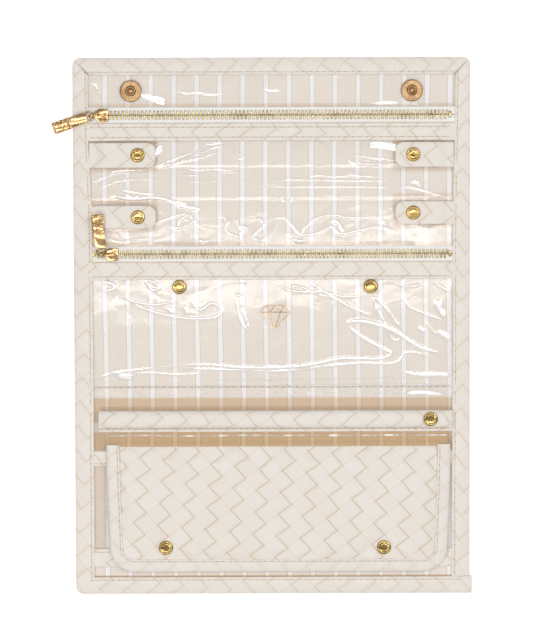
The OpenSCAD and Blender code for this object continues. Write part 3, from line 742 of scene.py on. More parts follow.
def edgeProfile():
    # the folded strip, from under the case, round the edge and back over the top
    top = edgeTop
    points = [(stripWide - 0.1, 0.55), (stripWide, 0.25), (stripWide - 0.4, 0.02), (9.0, 0.0), (6.0, 0.0),
              (3.0, 0.0), (1.5, 0.12), (0.6, 0.5), (0.15, 1.1), (0.0, top / 2), (0.15, top - 1.1),
              (0.6, top - 0.5), (1.5, top - 0.08), (3.0, top + 0.2), (5.0, top + 0.55),
              (7.2, top + 0.75), (8.7, top + 0.72), (edgeSet["stitchIn"], edgeSet["stitchHigh"]),
              (10.1, top + 0.8), (10.8, top + 0.95), (11.15, top + 0.86), (stripWide, top + 0.6),
              (stripWide, top), (stripWide - 0.3, top - 0.6)]
    return points


def edgeStrip(name, where, along, seams=()):
    # where(d, t) gives the place on the plane of a point d in from the edge at share t of the strip
    profile = edgeProfile()
    around = arcLengths(profile)
    verts, uvs = [], []
    for t in along:
        sink = edgeSet["seam"] if t in seams else 0.0
        for (d, z), s in zip(profile, around):
            x, y, length = where(d, t)
            lift = edgeSet["wave"] * noise.noise(Vector((x * 0.05, y * 0.05, 3.0))) - sink
            raised = lift * smoothStep(0.5, edgeTop, z)
            cx, cy = rounded(x, y)
            verts.append((cx, cy, z + raised))
            uvs.append((length, s))
    return makePiece(name, verts, gridFaces(len(along), len(profile)), edgeLeather, uvs, sharp=55)


def buildEdges():
    for section in sections:
        for side, sign in (("left", -1), ("right", 1)):
            y0, y1 = section["y0"], section["y1"]
            mitreTop = section["name"] == "top"
            mitreLow = section["name"] == "bottom" and sign < 0
            buttLow = section["name"] == "bottom" and sign > 0

            def where(d, t, sign=sign, y0=y0, y1=y1):
                low = y0 + (d if mitreLow else (stripWide + 0.05 if buttLow else 0))
                high = y1 - (d if mitreTop else 0)
                y = low + (high - low) * t
                return sign * (halfWide - d * edgeWide(sign, y) / stripWide), y, y * sign

            step = 1.0 if "blend" in section else 2.0
            along = spread(0, 1, step / (y1 - y0))
            seams = [1] * mitreTop + [0] * (mitreLow or buttLow)
            if seams:
                along = sorted(along + [0.005, 0.995])
            if sign > 0:
                along = list(reversed(along))
            piece = edgeStrip("edge_" + side + "_" + section["name"], where, along, seams)
            attach(piece, section)
            if section["cad"]:
                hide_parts(section["cad"] + "_bindings")

    def topStrip(d, t):
        x = (halfWide - d) * (2 * t - 1)
        return x, topY - d, x

    def lowStrip(d, t):
        left, right = -(halfWide - d), halfWide + 1.2
        x = left + (right - left) * t
        return x, bottomY + d, x + 5

    ends = (("edge_top", topStrip, "top_panel"), ("edge_bottom", lowStrip, "bottom_panel"))
    for name, where, body in ends:
        along = sorted(spread(0, 1, 1.0 / 130) + [0.002, 0.998])
        if name == "edge_top":
            along = list(reversed(along))
        piece = edgeStrip(name, where, along, (0, 1))
        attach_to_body(piece, body)


def foldDip(y):
    # how far the lining sinks where there is no foam
    return 0.14 * sum(smoothStep(2.8, 0.0, abs(y - line)) for line in foldLines)


def liningHeight(x, y):
    soft = 0.12 * noise.noise(Vector((x * 0.02, y * 0.03, 1.0)))
    return liningTop + 0.05 + soft - foldDip(y)


def buildLining():
    for section in sections:
        reach = 2.6
        xs = spread(-innerX - reach, innerX + reach, 2.5)
        low = section["y0"] + (stripWide - reach if section["name"] == "bottom" else 0)
        high = section["y1"] - (stripWide - reach if section["name"] == "top" else 0)
        ys = spread(low, high, 0.8 if "blend" in section else 2.5)

        def place(x, y):
            # stripes wander a little, as the cloth isn't pulled quite straight
            sway = 0.5 * math.sin(y * 0.021 + 0.4) + 0.35 * noise.noise(Vector((x * 0.01, y * 0.02, 7.0)))
            return x + sway, y

        piece = openSheet("lining_" + section["name"], xs, ys, liningHeight, liningCloth, place)
        attach(piece, section)
        if section["cad"]:
            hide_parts(section["cad"] + "_lining")


buildCover()
buildEdges()
buildLining()
print("cover, edges and lining made")

vinylSet = {"step": 0.65, "crinkle": 0.02, "ripple": 0.07, "rise": 0.14, "cell": 4.0}


def throughPoints(points, each=7):
    # a smooth path that passes through every given point
    ends = [points[0]] + list(points) + [points[-1]]
    if points[0] == points[-1]:
        ends = [points[-2]] + list(points) + [points[1]]
    path = []
    for a, b, c, d in zip(ends, ends[1:], ends[2:], ends[3:]):
        for k in range(each):
            t = k / each
            path.append(tuple(0.5 * (2 * q + (r - p) * t + (2 * p - 5 * q + 4 * r - e) * t * t
                                     + (3 * q - p - 3 * r + e) * t ** 3) for p, q, r, e in zip(a, b, c, d)))
    return path + [tuple(points[-1])]


def creaseGlintCells(lines):
    # each crease is (strength, width, points), raising a ridge and marking a painted glint; its short pieces
    # are sorted into square cells
    cells, cell = {}, vinylSet["cell"]
    for strength, wide, points in lines:
        path = throughPoints(points)
        closed = points[0] == points[-1]
        count = len(path) - 1
        for i in range(count):
            share = (i + 0.5) / count
            taper = 1.0 if closed else min(1.0, 5 * share, 5 * (1 - share)) ** 0.6
            (x0, y0), (x1, y1) = path[i], path[i + 1]
            uneven = 1 + 0.45 * noise.noise(Vector((x0 * 0.16, y0 * 0.22, 3.0)))
            w = wide * (0.45 + 0.55 * taper) * uneven
            piece = (x0, y0, x1, y1, w, strength * taper * min(1.0, uneven + 0.1))
            reach = 2.2 * w
            for gx in range(int((min(x0, x1) - reach) // cell), int((max(x0, x1) + reach) // cell) + 1):
                for gy in range(int((min(y0, y1) - reach) // cell), int((max(y0, y1) + reach) // cell) + 1):
                    cells.setdefault((gx, gy), []).append(piece)
    return cells


def creaseGlintAt(cells, x, y):
    most, cell = 0.0, vinylSet["cell"]
    for x0, y0, x1, y1, w, strength in cells.get((int(x // cell), int(y // cell)), ()):
        dx, dy = x1 - x0, y1 - y0
        share = max(0.0, min(1.0, ((x - x0) * dx + (y - y0) * dy) / (dx * dx + dy * dy + 1e-9)))
        far = math.hypot(x - x0 - share * dx, y - y0 - share * dy) / w
        if far < 2.2:
            most = max(most, strength * math.exp(-far * far))
    return most


def crinkle(x, y, seed):
    big = noise.noise(Vector((x * 0.022, y * 0.045, seed)))
    bent = Vector((x * 0.024 + 1.2 * big, y * 0.055 + 1.2 * big, seed + 4.0))
    ridge = 1 - abs(noise.noise(bent)) * 4.5
    return vinylSet["ripple"] * big + vinylSet["crinkle"] * max(0.0, ridge) ** 2


stripCreaseGlints = creaseGlintCells([
    (1.0, 1.5, [(-84, 148.5), (-78, 147), (-71, 145), (-69, 144.2)]),
    (0.6, 0.6, [(-117, 157), (-112, 154), (-109, 148), (-107.5, 145)]),
    (0.55, 0.55, [(-61, 150.8), (-54, 149), (-47, 149.6), (-39, 148.2), (-28, 149)]),
    (0.6, 0.7, [(-4, 151.6), (0, 150.6), (5, 151)]),
    (1.0, 0.7, [(64, 142.6), (74, 143), (86, 142.9), (97, 142.6)])])
upperCreaseGlints = creaseGlintCells([
    (1.0, 1.4, [(-76, 110.5), (-73.5, 113), (-70.5, 115)]),
    (0.55, 0.9, [(-75, 103), (-62, 108.5), (-46, 113.5), (-28, 117.5)]),
    (0.5, 0.8, [(-74, 102), (-58, 106.5), (-44, 109.5), (-33, 113.5)]),
    (0.45, 0.6, [(-66, 104), (-52, 110), (-38, 114.5)]),
    (0.7, 0.6, [(-46, 118.2), (-40, 116.5), (-33, 118), (-29, 119)]),
    (0.55, 0.5, [(-66, 100), (-57, 101.2), (-48, 100), (-38, 100.8), (-28, 99.8), (-18, 100.2)]),
    (0.4, 0.5, [(-62, 98.4), (-50, 98), (-40, 98.8)]),
    (0.55, 0.4, [(-2, 94.6), (20, 94.9), (45, 94.3), (76, 94)]),
    (0.55, 0.4, [(-10, 91), (10, 90.4), (45, 90.4), (88, 89.6)]),
    (0.3, 0.4, [(-60, 93.6), (-35, 94.3), (-8, 93.8)]),
    (0.65, 0.55, [(21, 96.4), (30, 97.4), (41, 96.5), (52, 97.3), (69, 96.6)]),
    (0.55, 0.5, [(-24, 110.5), (-21, 111.3), (-17.5, 110), (-20, 108.4), (-24, 110.5)]),
    (1.0, 1.7, [(62, 116.6), (68, 117.2), (75, 116), (82, 114)]),
    (0.5, 0.6, [(26, 119), (33, 118), (36, 114), (37, 110.5)]),
    (0.55, 0.5, [(-2, 119), (4, 117.5), (8, 119)]),
    (0.4, 0.7, [(43, 115), (51, 106.5), (62, 104.6), (76, 103)]),
    (0.55, 0.6, [(52, 111), (62, 109), (72, 108), (81, 106.5)]),
    (0.45, 0.5, [(56, 108), (66, 106), (79, 104.6)]),
    (0.5, 0.7, [(-116, 93), (-106, 97.4), (-96, 100), (-76, 100.6)]),
    (0.4, 0.6, [(-112, 89), (-100, 94), (-86, 95.5), (-70, 95)]),
    (0.85, 0.9, [(-104, 85.5), (-90, 82.5), (-76, 83.5), (-62, 80.5), (-50, 76)]),
    (0.6, 0.6, [(-96, 89), (-84, 86.5), (-70, 85.4)]),
    (0.9, 1.5, [(-94, 85.5), (-89, 83.5), (-85, 84.8)]),
    (0.8, 1.4, [(-60, 79.4), (-53, 77.2), (-47, 76.6)]),
    (0.6, 0.55, [(5, 82.4), (9, 83.4), (14, 82.6), (11, 80.8), (5, 82.4)]),
    (0.6, 0.6, [(-58, 69.5), (-53, 72), (-50, 68.5), (-55, 65.6), (-61, 64), (-58, 69.5)]),
    (0.4, 0.6, [(-74, 68), (-67, 70), (-60, 72.5), (-50, 73.5)]),
    (0.6, 0.6, [(-35, 72), (-28, 69), (-30, 63), (-24, 59), (-20.5, 58), (-21, 66), (-24, 71.5)]),
    (0.55, 0.6, [(-14, 69), (-8, 69.5), (-5, 65.5), (-9, 62), (-12, 58), (-7, 55.5), (-4, 58)]),
    (0.7, 1.2, [(-18.5, 64.8), (-16.5, 63.6)]),
    (0.6, 0.6, [(1, 70), (8, 70.4), (13, 66), (18, 59.8), (20.5, 63), (27, 69), (39, 72), (52, 70.2),
                (77, 71.5)]),
    (0.5, 0.6, [(8, 61), (17, 59), (28, 60.4), (39, 64.6), (44, 60), (56, 62), (68, 64.4), (81, 61)]),
    (0.7, 1.1, [(40, 69), (43.5, 66), (46, 61.5)]),
    (0.9, 1.0, [(90, 93.8), (92.5, 92.4), (95, 91.6)]),
    (0.5, 0.7, [(84, 91), (95, 88.6), (104, 85.6), (111, 83.4)]),
    (0.7, 0.9, [(-46, 56.2), (-43.5, 55), (-41, 56)]),
    (0.8, 1.0, [(15, 56.4), (17.5, 55.2), (20, 55.8)]),
    (0.4, 0.5, [(-105, 57.4), (-96, 55), (-88, 56.6), (-79, 57.4)])])
pocketCreaseGlints = creaseGlintCells([
    (0.9, 0.9, [(-108, 29.5), (-102.5, 28), (-101.5, 25), (-108, 23.6)]),
    (0.5, 0.7, [(-81, 30), (-76, 29), (-72, 25.5), (-77, 24.4), (-81, 30)]),
    (0.65, 0.6, [(-94.5, 20), (-88, 16.6), (-76, 14.6), (-62, 16.4)]),
    (0.75, 0.7, [(-95, 19.6), (-86, 13.8), (-73.6, 9.4), (-57.5, 6), (-40, 5.8), (-32.5, 9), (-33.5, 13),
                 (-39, 15.4), (-45.5, 11.4), (-49, 13), (-52.7, 18.4)]),
    (0.75, 1.3, [(-67, 12.5), (-64, 9.4)]),
    (0.7, 1.2, [(-56, 13), (-54.5, 8.5)]),
    (0.9, 0.9, [(-23.5, 21), (-19.4, 19.6), (-19.4, 13)]),
    (0.7, 0.7, [(-23.5, 21), (-22, 14), (-20.5, 5), (-16.5, -1.6), (-15, -0.8), (-17.4, 7), (-19, 13)]),
    (0.55, 0.7, [(3.6, 29), (8, 25), (18, 22.6), (33, 22.4), (46, 19.4), (59, 20)]),
    (0.6, 0.7, [(24.6, 29), (32, 23.5), (40, 18.5), (52, 12), (65, 6.4)]),
    (0.45, 0.6, [(8, 27), (19, 25.5), (30, 21), (44, 17)]),
    (0.95, 1.2, [(47.5, 2.4), (56, 3.8), (66, 2), (78, -2.4), (88, -9), (97, -14), (108.5, -17.6)]),
    (0.85, 1.0, [(47.5, 2.4), (51.5, -2), (60, -8), (70, -13.5), (76.5, -17.4), (70, -20.4), (57, -20.6),
                 (44, -20.4), (26, -24), (8, -26), (-20, -26), (-43, -24.4), (-67, -25.4)]),
    (0.75, 0.8, [(103.5, -21), (95, -17.5), (86, -17), (79, -23.4), (56, -23.6), (30, -25.8), (5, -28.4),
                 (-24, -27.6), (-51, -26.8), (-80, -25.4)]),
    (0.6, 0.7, [(66, 19), (67.5, 11), (72, 3), (77, -7.5), (81.5, -8.6), (84, -3.4), (79, 4), (73, 12),
                (66, 19)]),
    (0.6, 0.7, [(84, 19.6), (88, 13), (98, 8.4), (111.5, 3)]),
    (0.9, 2.0, [(106.5, 16.5), (108, 11), (111, 6.5)]),
    (0.85, 1.9, [(107, -3.6), (112, -6.4), (114, -8)]),
    (0.8, 1.2, [(95, -1), (97.5, -3)]),
    (0.6, 0.8, [(99, 3), (104, -3.5), (113, -8.5)]),
    (0.55, 0.6, [(79.5, 28.6), (86, 26), (97, 27)]),
    (0.5, 0.7, [(104, 29), (109, 25.5), (114, 22.6)]),
    (0.65, 0.8, [(-115, -35), (-108, -31.6), (-99, -29), (-75, -26.4)]),
    (0.9, 2.0, [(-99, -30.6), (-94.5, -31.8), (-90.5, -32.4)]),
    (0.55, 0.7, [(-90, -30), (-77, -29.6), (-60, -30.8), (-43, -29.6)]),
    (1.0, 1.3, [(85.5, -29.8), (96, -31), (107, -31), (115, -31.8)]),
    (0.6, 0.5, [(-40, -34.4), (0, -34), (60, -33.2), (114, -33.4)]),
    (0.9, 0.5, [(-3, -38), (40, -38), (80, -37.8), (114, -37.8)]),
    (0.4, 0.5, [(-114, -38.6), (-60, -38.2), (-3, -37.9)])])
boxCreaseGlints = creaseGlintCells([(0.5, 0.8, [(-112, -110), (-107, -118), (-110, -130)])])
tailCreaseGlints = creaseGlintCells(
    [(0.7, 0.6, [(x, -43.6 + 0.012 * abs(x) - 0.5 * (k % 2)), (x + 3 + k % 3, -43.0 + 0.3 * (k % 3))])
     for k, x in enumerate(range(-110, 108, 11))] + [(1.0, 1.6, [(86, -43), (96, -42.4), (112, -44)])])


def clearHeight(cells, seed, pinned):
    def height(x, y):
        hold = smoothStep(0.0, 4.0, innerX - abs(x))
        for line in pinned:
            hold *= smoothStep(0.0, 3.5, abs(y - line))
        puff = crinkle(x, y, seed) + vinylSet["rise"] * creaseGlintAt(cells, x, y)
        return clearTop + 0.05 + hold * max(-0.35, puff) - foldDip(y) * 0.6
    return height


def markPaintedGlints(piece, strengths):
    # painted glints: the vinyl material reads these strengths for its extra opacity and warm white glow
    glintMask = piece.data.attributes.new("paintedGlint", "FLOAT", "POINT")
    for point, strength in zip(glintMask.data, strengths):
        point.value = strength


def clearFront(name, y0, y1, height, cells, section=None, body=None, nodes=()):
    xs = spread(-innerX - 1.6, innerX + 1.6, vinylSet["step"])
    piece = openSheet(name, xs, spread(y0, y1, vinylSet["step"]), height, vinyl)
    places = [(vertex.co.x / mm, vertex.co.y / mm) for vertex in piece.data.vertices]
    markPaintedGlints(piece, [creaseGlintAt(cells, x, y) for x, y in places])
    if section:
        attach(piece, section)
    else:
        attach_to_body(piece, body)
    if nodes:
        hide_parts(*nodes)
    return piece


zipUpY = centreMm("upper_zip_teeth")[1]
zipLowY = centreMm("lower_zip_teeth")[1]
upTrim0, upTrim1 = boxMm("upper_trim")[0][1], boxMm("upper_trim")[1][1]
lowTrim0, lowTrim1 = boxMm("lower_trim")[0][1], boxMm("lower_trim")[1][1]


tailTop = 4.6


def buildClear():
    strip0, strip1 = boxMm("top_clear_strip")[0][1], boxMm("top_clear_strip")[1][1]
    height = clearHeight(stripCreaseGlints, 2.0, (strip0, strip1))
    clearFront("clear_strip", strip0 + 0.1, strip1 + 0.4, height, stripCreaseGlints, body="top_panel",
               nodes=("top_clear_strip",))
    middle0 = boxMm("middle_clear_front")[0][1]
    upper = clearHeight(upperCreaseGlints, 5.0, (upTrim0, middle0))
    byName = {part["name"]: part for part in sections}
    clearFront("clear_front_top", foldTopOut + bendReach, upTrim0 + 1, upper, upperCreaseGlints,
               body="top_panel", nodes=("top_clear_front",))
    for key, nodes in (("upperBendA", ("upper_spine_clear",)), ("upperBendB", ())):
        part = byName[key]
        clearFront("clear_front_" + key, part["y0"], part["y1"], upper, upperCreaseGlints, section=part,
                   nodes=nodes)
    clearFront("clear_front_middle", middle0, foldTopIn - bendReach, upper, upperCreaseGlints,
               body="middle_panel", nodes=("middle_clear_front",))
    low, high = boxMm("snap_pocket_front")
    height = clearHeight(pocketCreaseGlints, 11.0, (low[1] + tailTop,))
    clearFront("snap_pocket_sheet", low[1] + tailTop, high[1] + 1, height, pocketCreaseGlints,
               body="middle_panel", nodes=("snap_pocket_front",))
    low, high = boxMm("box_pocket_clear")
    height = clearHeight(boxCreaseGlints, 17.0, (low[1],))
    clearFront("box_pocket_sheet", low[1], high[1], height, boxCreaseGlints, body="bottom_panel",
               nodes=("box_pocket_clear",))


def buildTail():
    # the snap pocket's loose lower edge lies over the fold, uneven and a little lifted
    xs = spread(-innerX + 1, innerX - 0.6, 1.3)
    top = boxMm("snap_pocket_front")[0][1] + tailTop
    rows = 14
    verts, uvs = [], []
    for k in range(rows):
        share = k / (rows - 1)
        for x in xs:
            bottom = foldLowIn - 4.2 + 1.6 * noise.noise(Vector((x * 0.02, 31.0, 0.0)))
            bottom += 0.35 * noise.noise(Vector((x * 0.25, 37.0, 0.0))) - 0.9 * smoothStep(-60.0, -112.0, x)
            y = bottom + (top - bottom) * share
            lift = 0.1 * smoothStep(0.6, 0.0, share) * (1 + noise.noise(Vector((x * 0.05, y * 0.1, 40.0))))
            verts.append((x, y, clearTop + 0.08 + lift))
            uvs.append((x, y))
    piece = makePiece("snap_pocket_tail", verts, gridFaces(rows, len(xs)), vinyl, uvs)
    strengths = []
    for i, (x, y, _) in enumerate(verts):
        # painted glints: extra glint strength along the tail's loose lower edge
        rim = 0.3 * smoothStep(0.9, 0.0, i // len(xs)) * (0.6 + noise.noise(Vector((x * 0.09, 2.0, 8.0))))
        strengths.append(max(rim, creaseGlintAt(tailCreaseGlints, x, y), creaseGlintAt(pocketCreaseGlints, x, y)))
    markPaintedGlints(piece, strengths)
    attach(piece, next(part for part in sections if part["name"] == "lowerBendA"))


buildClear()
buildTail()
print("clear fronts made")


def stripLoop(halfTall, low, high, rounding):
    # closed cross-section of a flat strip, (across, height)
    r = min(rounding, (high - low) / 2)
    top = [(-halfTall + r * (1 - math.cos(a)), high - r + r * math.sin(a))
           for a in (0, math.pi / 6, math.pi / 3, math.pi / 2)]
    inner = [(-halfTall + r + (2 * halfTall - 2 * r) * i / 8, high) for i in range(1, 8)]
    upper = top + inner + [(-y, z) for y, z in reversed(top)]
    return upper + [(halfTall, low), (halfTall * 0.3, low), (-halfTall * 0.3, low), (-halfTall, low)]


def trimStrip(name, x0, x1, y0, y1, low, high, body, node=None, grooves=(), crown=0.12, material=None):
    centre, half = (y0 + y1) / 2, (y1 - y0) / 2
    loop = stripLoop(half, low, high, 0.35)
    around = arcLengths([(y, z) for y, z in loop])
    rows, uvRows = [], []
    for x in spread(x0, x1, 2.5):
        row, uvRow = [], []
        drift = 0.18 * noise.noise(Vector((x * 0.03, centre, 5.0)))
        for (y, z), s in zip(loop, around):
            if z > high - 0.05:
                z += crown * (1 - (y / half) ** 2)
                for g in grooves:
                    z -= 0.16 * math.exp(-((centre + y - g) / 0.7) ** 2)
            row.append((x, centre + y + drift, z))
            uvRow.append((x, centre - half + s))
        rows.append(row)
        uvRows.append(uvRow)
    piece = shell(name, rows, material or coverLeather, uvRows)
    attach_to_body(piece, body)
    if node:
        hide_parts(node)
    return piece


upStitches = (upTrim1 - 2.6, upTrim0 + 2.2)
lowStitches = (lowTrim0 + 2.0,)
pocketTrimHigh = boxMm("box_pocket_trims")


def buildTrims():
    x0, x1, base = -innerX - 2, innerX + 2, edgeTop - 0.15
    high = boxMm("upper_trim")[1][2]
    trimStrip("upper_trim_strip", x0, x1, upTrim0, upTrim1, base, high, "top_panel", "upper_trim",
              upStitches)
    trimStrip("lower_trim_strip", x0, x1, lowTrim0, lowTrim1, base, high, "middle_panel", "lower_trim",
              lowStitches)
    low, top = pocketTrimHigh
    trimStrip("box_pocket_top_strip", x0, x1, top[1] - 9.6, top[1], base, top[2], "bottom_panel",
              "box_pocket_trims", (top[1] - 8.2,), 0.05)
    trimStrip("box_pocket_low_strip", x0, x1, low[1], low[1] + 11.6, base, top[2], "bottom_panel",
              None, (low[1] + 9.4,), 0.05)


buildTrims()
print("trims made")

toothSet = {"pitch": 2.5, "wide": 1.05, "high": 1.2}


def toothParts(x, y, sign):
    # one tooth: a rounded shank outside, a narrower nose over the middle line
    half = toothSet["wide"] / 2
    side = [(0.8, -0.5), (1, 0.2), (0.75, 1.1), (1, 1.7), (1, 2.8)]
    outline = [(x + half * a, y + sign * b) for a, b in side]
    outline = [(x - half * 0.8, y - sign * 0.5)] + outline
    outline += [(x - half * a, y + sign * b) for a, b in reversed(side[1:])]
    if sign < 0:
        outline.reverse()
    return plateParts(outline, edgeTop - 0.2, edgeTop + toothSet["high"], 0.22)


def buildZip(prefix, y, body):
    low, high = boxMm(prefix + "_zip_teeth")
    parts = []
    count = int((high[0] - low[0] - 4.4) / toothSet["pitch"])
    start = low[0] + 2.6
    for i in range(count + 1):
        x = start + i * toothSet["pitch"]
        parts.append(toothParts(x, y + 0.1, 1))
        if x + toothSet["pitch"] / 2 < high[0] - 2.4:
            parts.append(toothParts(x + toothSet["pitch"] / 2, y - 0.1, -1))
    for x in (low[0] + 0.8, high[0] - 0.8):
        box = [(x - 0.8, y - 2), (x + 0.8, y - 2), (x + 0.8, y + 2), (x - 0.8, y + 2)]
        parts.append(plateParts(box, edgeTop - 0.2, edgeTop + 1.1, 0.25))
    piece = makePiece(prefix + "_teeth", *joinParts(parts)[:2], brass, joinParts(parts)[2], sharp=35)
    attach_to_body(piece, body)
    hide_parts(prefix + "_zip_teeth")
    tapeLow, tapeHigh = boxMm(prefix + "_zip_tapes")
    for sign in (-1, 1):
        outer = tapeHigh[1] - 0.1 if sign > 0 else y - 5.4
        edge0, edge1 = sorted((y + sign * 0.35, outer))
        centre, half = (edge0 + edge1) / 2, (edge1 - edge0) / 2
        rows, uvRows = [], []
        for x in spread(-innerX - 2, innerX + 2, 2.0):
            row, uvRow = [], []
            for across, z in stripLoop(half, tapeLow[2], tapeHigh[2] + 0.05, 0.2):
                inner = abs(centre + across - y)
                cord = 0.45 * math.exp(-((inner - 2.3) / 0.6) ** 2) if z > tapeHigh[2] - 0.1 else 0
                edge = 0.18 * math.exp(-((inner - 4.6) / 0.4) ** 2) if z > tapeHigh[2] - 0.1 else 0
                row.append((x, centre + across, z + cord * 0.4 + edge))
                uvRow.append((x, centre + across))
            rows.append(row)
            uvRows.append(uvRow)
        tape = shell(prefix + "_tape_" + ("high" if sign > 0 else "low"), rows, zipCloth, uvRows)
        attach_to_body(tape, body)
    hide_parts(prefix + "_zip_tapes")


sliderSet = {"long": 8.0, "gap": 2.4, "half": 4.15, "nose": 2.5}
pullSet = {"long": 26.0, "wide": 7.6, "thick": 1.4, "slotLong": 3.6, "loopHalf": 2.7, "reliefFrom": 15.0}


def sliderOutline(grow=0.0):
    gap, half, nose, end = (sliderSet[k] for k in ("gap", "half", "nose", "long"))
    half += grow
    points = [(gap - 0.3, -nose + 0.7), (gap + 0.3, -nose), (gap + 2.2, -half), (gap + 4, -half),
              (gap + 5.6, -half + 0.5), (gap + end - 0.6, -half + 0.2), (gap + end, -half + 0.8)]
    return points + [(x, -y) for x, y in reversed(points)]


def buildSlider(prefix, body):
    pivot = pivots[prefix]
    bottom = edgeTop + 0.35 - pivot[2]
    top = edgeTop + 2.5 - pivot[2]
    parts = [plateParts(sliderOutline(), top - 1.0, top, 0.3)]
    gap, end = sliderSet["gap"], sliderSet["long"]
    for s in (-1, 1):
        wall = [(gap + 2.2, s * 3.3), (gap + end - 0.3, s * 3.3), (gap + end - 0.3, s * 4.1),
                (gap + 2.2, s * 4.1)]
        if s < 0:
            wall.reverse()
        parts.append(plateParts(wall, bottom, top - 0.6, 0.2))
    ridge = [(gap + 1.2, -1.1), (gap + 6.6, -1.1), (gap + 7.2, 0), (gap + 6.6, 1.1), (gap + 1.2, 1.1),
             (gap + 0.5, 0)]
    parts.append(plateParts(ridge, top - 0.2, top + 0.75, 0.3))
    arch = []
    for k in range(13):
        a = math.pi * k / 12
        arch.append((gap + 3.9 - 2.4 * math.cos(a), 0, top + 0.1 + 1.35 * math.sin(a) ** 0.8))
    parts.append(tubeParts(arch, 0.75, 0.4, 8))
    neck = [(-0.4, -0.8), (gap + 1, -0.8), (gap + 1, 0.8), (-0.4, 0.8)]
    parts.append(plateParts(neck, -1.55, -1.1, 0.12))
    body3d = [turned(p, pivot, 0) for p in parts]
    ring = []
    for k in range(24):
        a = 2 * math.pi * k / 24
        ring.append((1.33 * math.cos(a), 0, 1.33 * math.sin(a)))
    ringParts = tubeParts(ring, 0.85, 0.32, 10, closed=True)
    body3d.append(turned(ringParts, pivot, pullTurn[prefix][0] - 180))
    verts, faces, uvs = joinParts(body3d)
    piece = makePiece(prefix + "_zip_slider_body", verts, faces, gold, uvs, sharp=30)
    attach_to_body(piece, body)
    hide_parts(prefix + "_slider")


def pullRelief(x, y):
    # raised curls and beads inside a thin frame, a pattern of its own
    start, end, half = pullSet["reliefFrom"], pullSet["long"], pullSet["wide"] / 2
    border = max(smoothStep(0.9, 0.5, side) for side in (x - start, end - x, half - abs(y)))
    u, v = (x - start) * 1.15, y * 1.3
    curl = math.sin(u * 1.9 + 1.6 * math.sin(v * 1.1)) * math.cos(v * 1.7 + 1.2 * math.sin(u * 0.9))
    return max(border, smoothStep(-0.1, 0.55, curl)) * 0.42


def buildPull(prefix, body):
    half, thick = pullSet["wide"] / 2, pullSet["thick"] / 2
    slot, loopHalf = pullSet["slotLong"], pullSet["loopHalf"]
    loop = [(0, -loopHalf + 0.5, 0), (0, loopHalf - 0.5, 0), (0.5, loopHalf, 0), (slot * 0.6, loopHalf, 0),
            (slot + 0.6, loopHalf - 0.2, 0), (slot + 0.6, -loopHalf + 0.2, 0), (slot * 0.6, -loopHalf, 0),
            (0.5, -loopHalf, 0)]
    parts = [tubeParts(loop, 0.62, 0.62, 10, closed=True)]
    shoulder = [(slot, -loopHalf), (slot + 3, -half + 0.3), (slot + 11.6, -half + 0.3),
                (slot + 11.6, half - 0.3), (slot + 3, half - 0.3), (slot, loopHalf)]
    parts.append(plateParts(shoulder, -thick + 0.1, thick - 0.1, 0.25))
    start, end = pullSet["reliefFrom"], pullSet["long"]
    plate = [(start, -half), (end - 0.4, -half), (end, -half + 0.4), (end, half - 0.4),
             (end - 0.4, half), (start, half)]
    parts.append(plateParts(plate, -thick, thick - 0.35, 0.2))
    xs, ys = spread(start + 0.15, end - 0.15, 0.3), spread(-half + 0.15, half - 0.15, 0.3)
    verts, uvs = [], []
    for level in (1, 0):
        for y in ys:
            for x in xs:
                verts.append((x, y, thick - 0.45 + pullRelief(x, y) if level else thick - 0.7))
                uvs.append((x, y))
    count = len(xs) * len(ys)
    faces = gridFaces(len(ys), len(xs)) + gridFaces(len(ys), len(xs), count, flip=True)
    rim = list(range(len(xs))) + [r * len(xs) + len(xs) - 1 for r in range(1, len(ys))]
    rim += [(len(ys) - 1) * len(xs) + i for i in range(len(xs) - 2, -1, -1)]
    rim += [r * len(xs) for r in range(len(ys) - 2, 0, -1)]
    for a, b in zip(rim, rim[1:] + rim[:1]):
        faces.append((b, a, a + count, b + count))
    parts.append((verts, faces, uvs))
    turn, lift = pullTurn[prefix]
    placed = [turned(p, pivots[prefix], turn, lift) for p in parts]
    verts, faces, uvs = joinParts(placed)
    piece = makePiece(prefix + "_zip_pull_tag", verts, faces, gold, uvs, sharp=32)
    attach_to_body(piece, body)
    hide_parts(prefix + "_pull")


def jointOf(name):
    return next(j for j in frame["joints"] if j["name"] == name)


pivots = {p: [c / mm for c in jointOf(p + "_pull_swing")["pos_m"]] for p in ("upper", "lower")}


def pullHeading(prefix):
    # a pull points at right angles to its hinge line
    ax, ay, _ = jointOf(prefix + "_pull_swing")["axis"]
    return math.degrees(math.atan2(-ax, ay))


pullTurn = {"upper": (pullHeading("upper"), 0.0), "lower": (pullHeading("lower"), 6.0)}

buildZip("upper", zipUpY, "top_panel")
buildZip("lower", zipLowY, "middle_panel")
buildSlider("upper", "upper_zip_slider")
buildSlider("lower", "lower_zip_slider")
buildPull("upper", "upper_zip_pull")
buildPull("lower", "lower_zip_pull")
print("zips made")

capProfile = [(4.3, 0.0), (4.55, 0.12), (4.6, 0.4), (4.5, 0.75), (4.25, 1.03), (3.9, 1.2), (3.5, 1.27),
              (3.15, 1.2), (2.9, 1.04), (2.65, 0.92), (2.2, 0.86), (1.5, 0.83), (0.7, 0.82), (0.0, 0.82)]
socketProfile = [(2.35, 0.0), (3.9, 0.0), (4.4, 0.15), (4.55, 0.5), (4.4, 0.9), (4.0, 1.1), (1.5, 1.15),
                 (1.5, 2.0)]


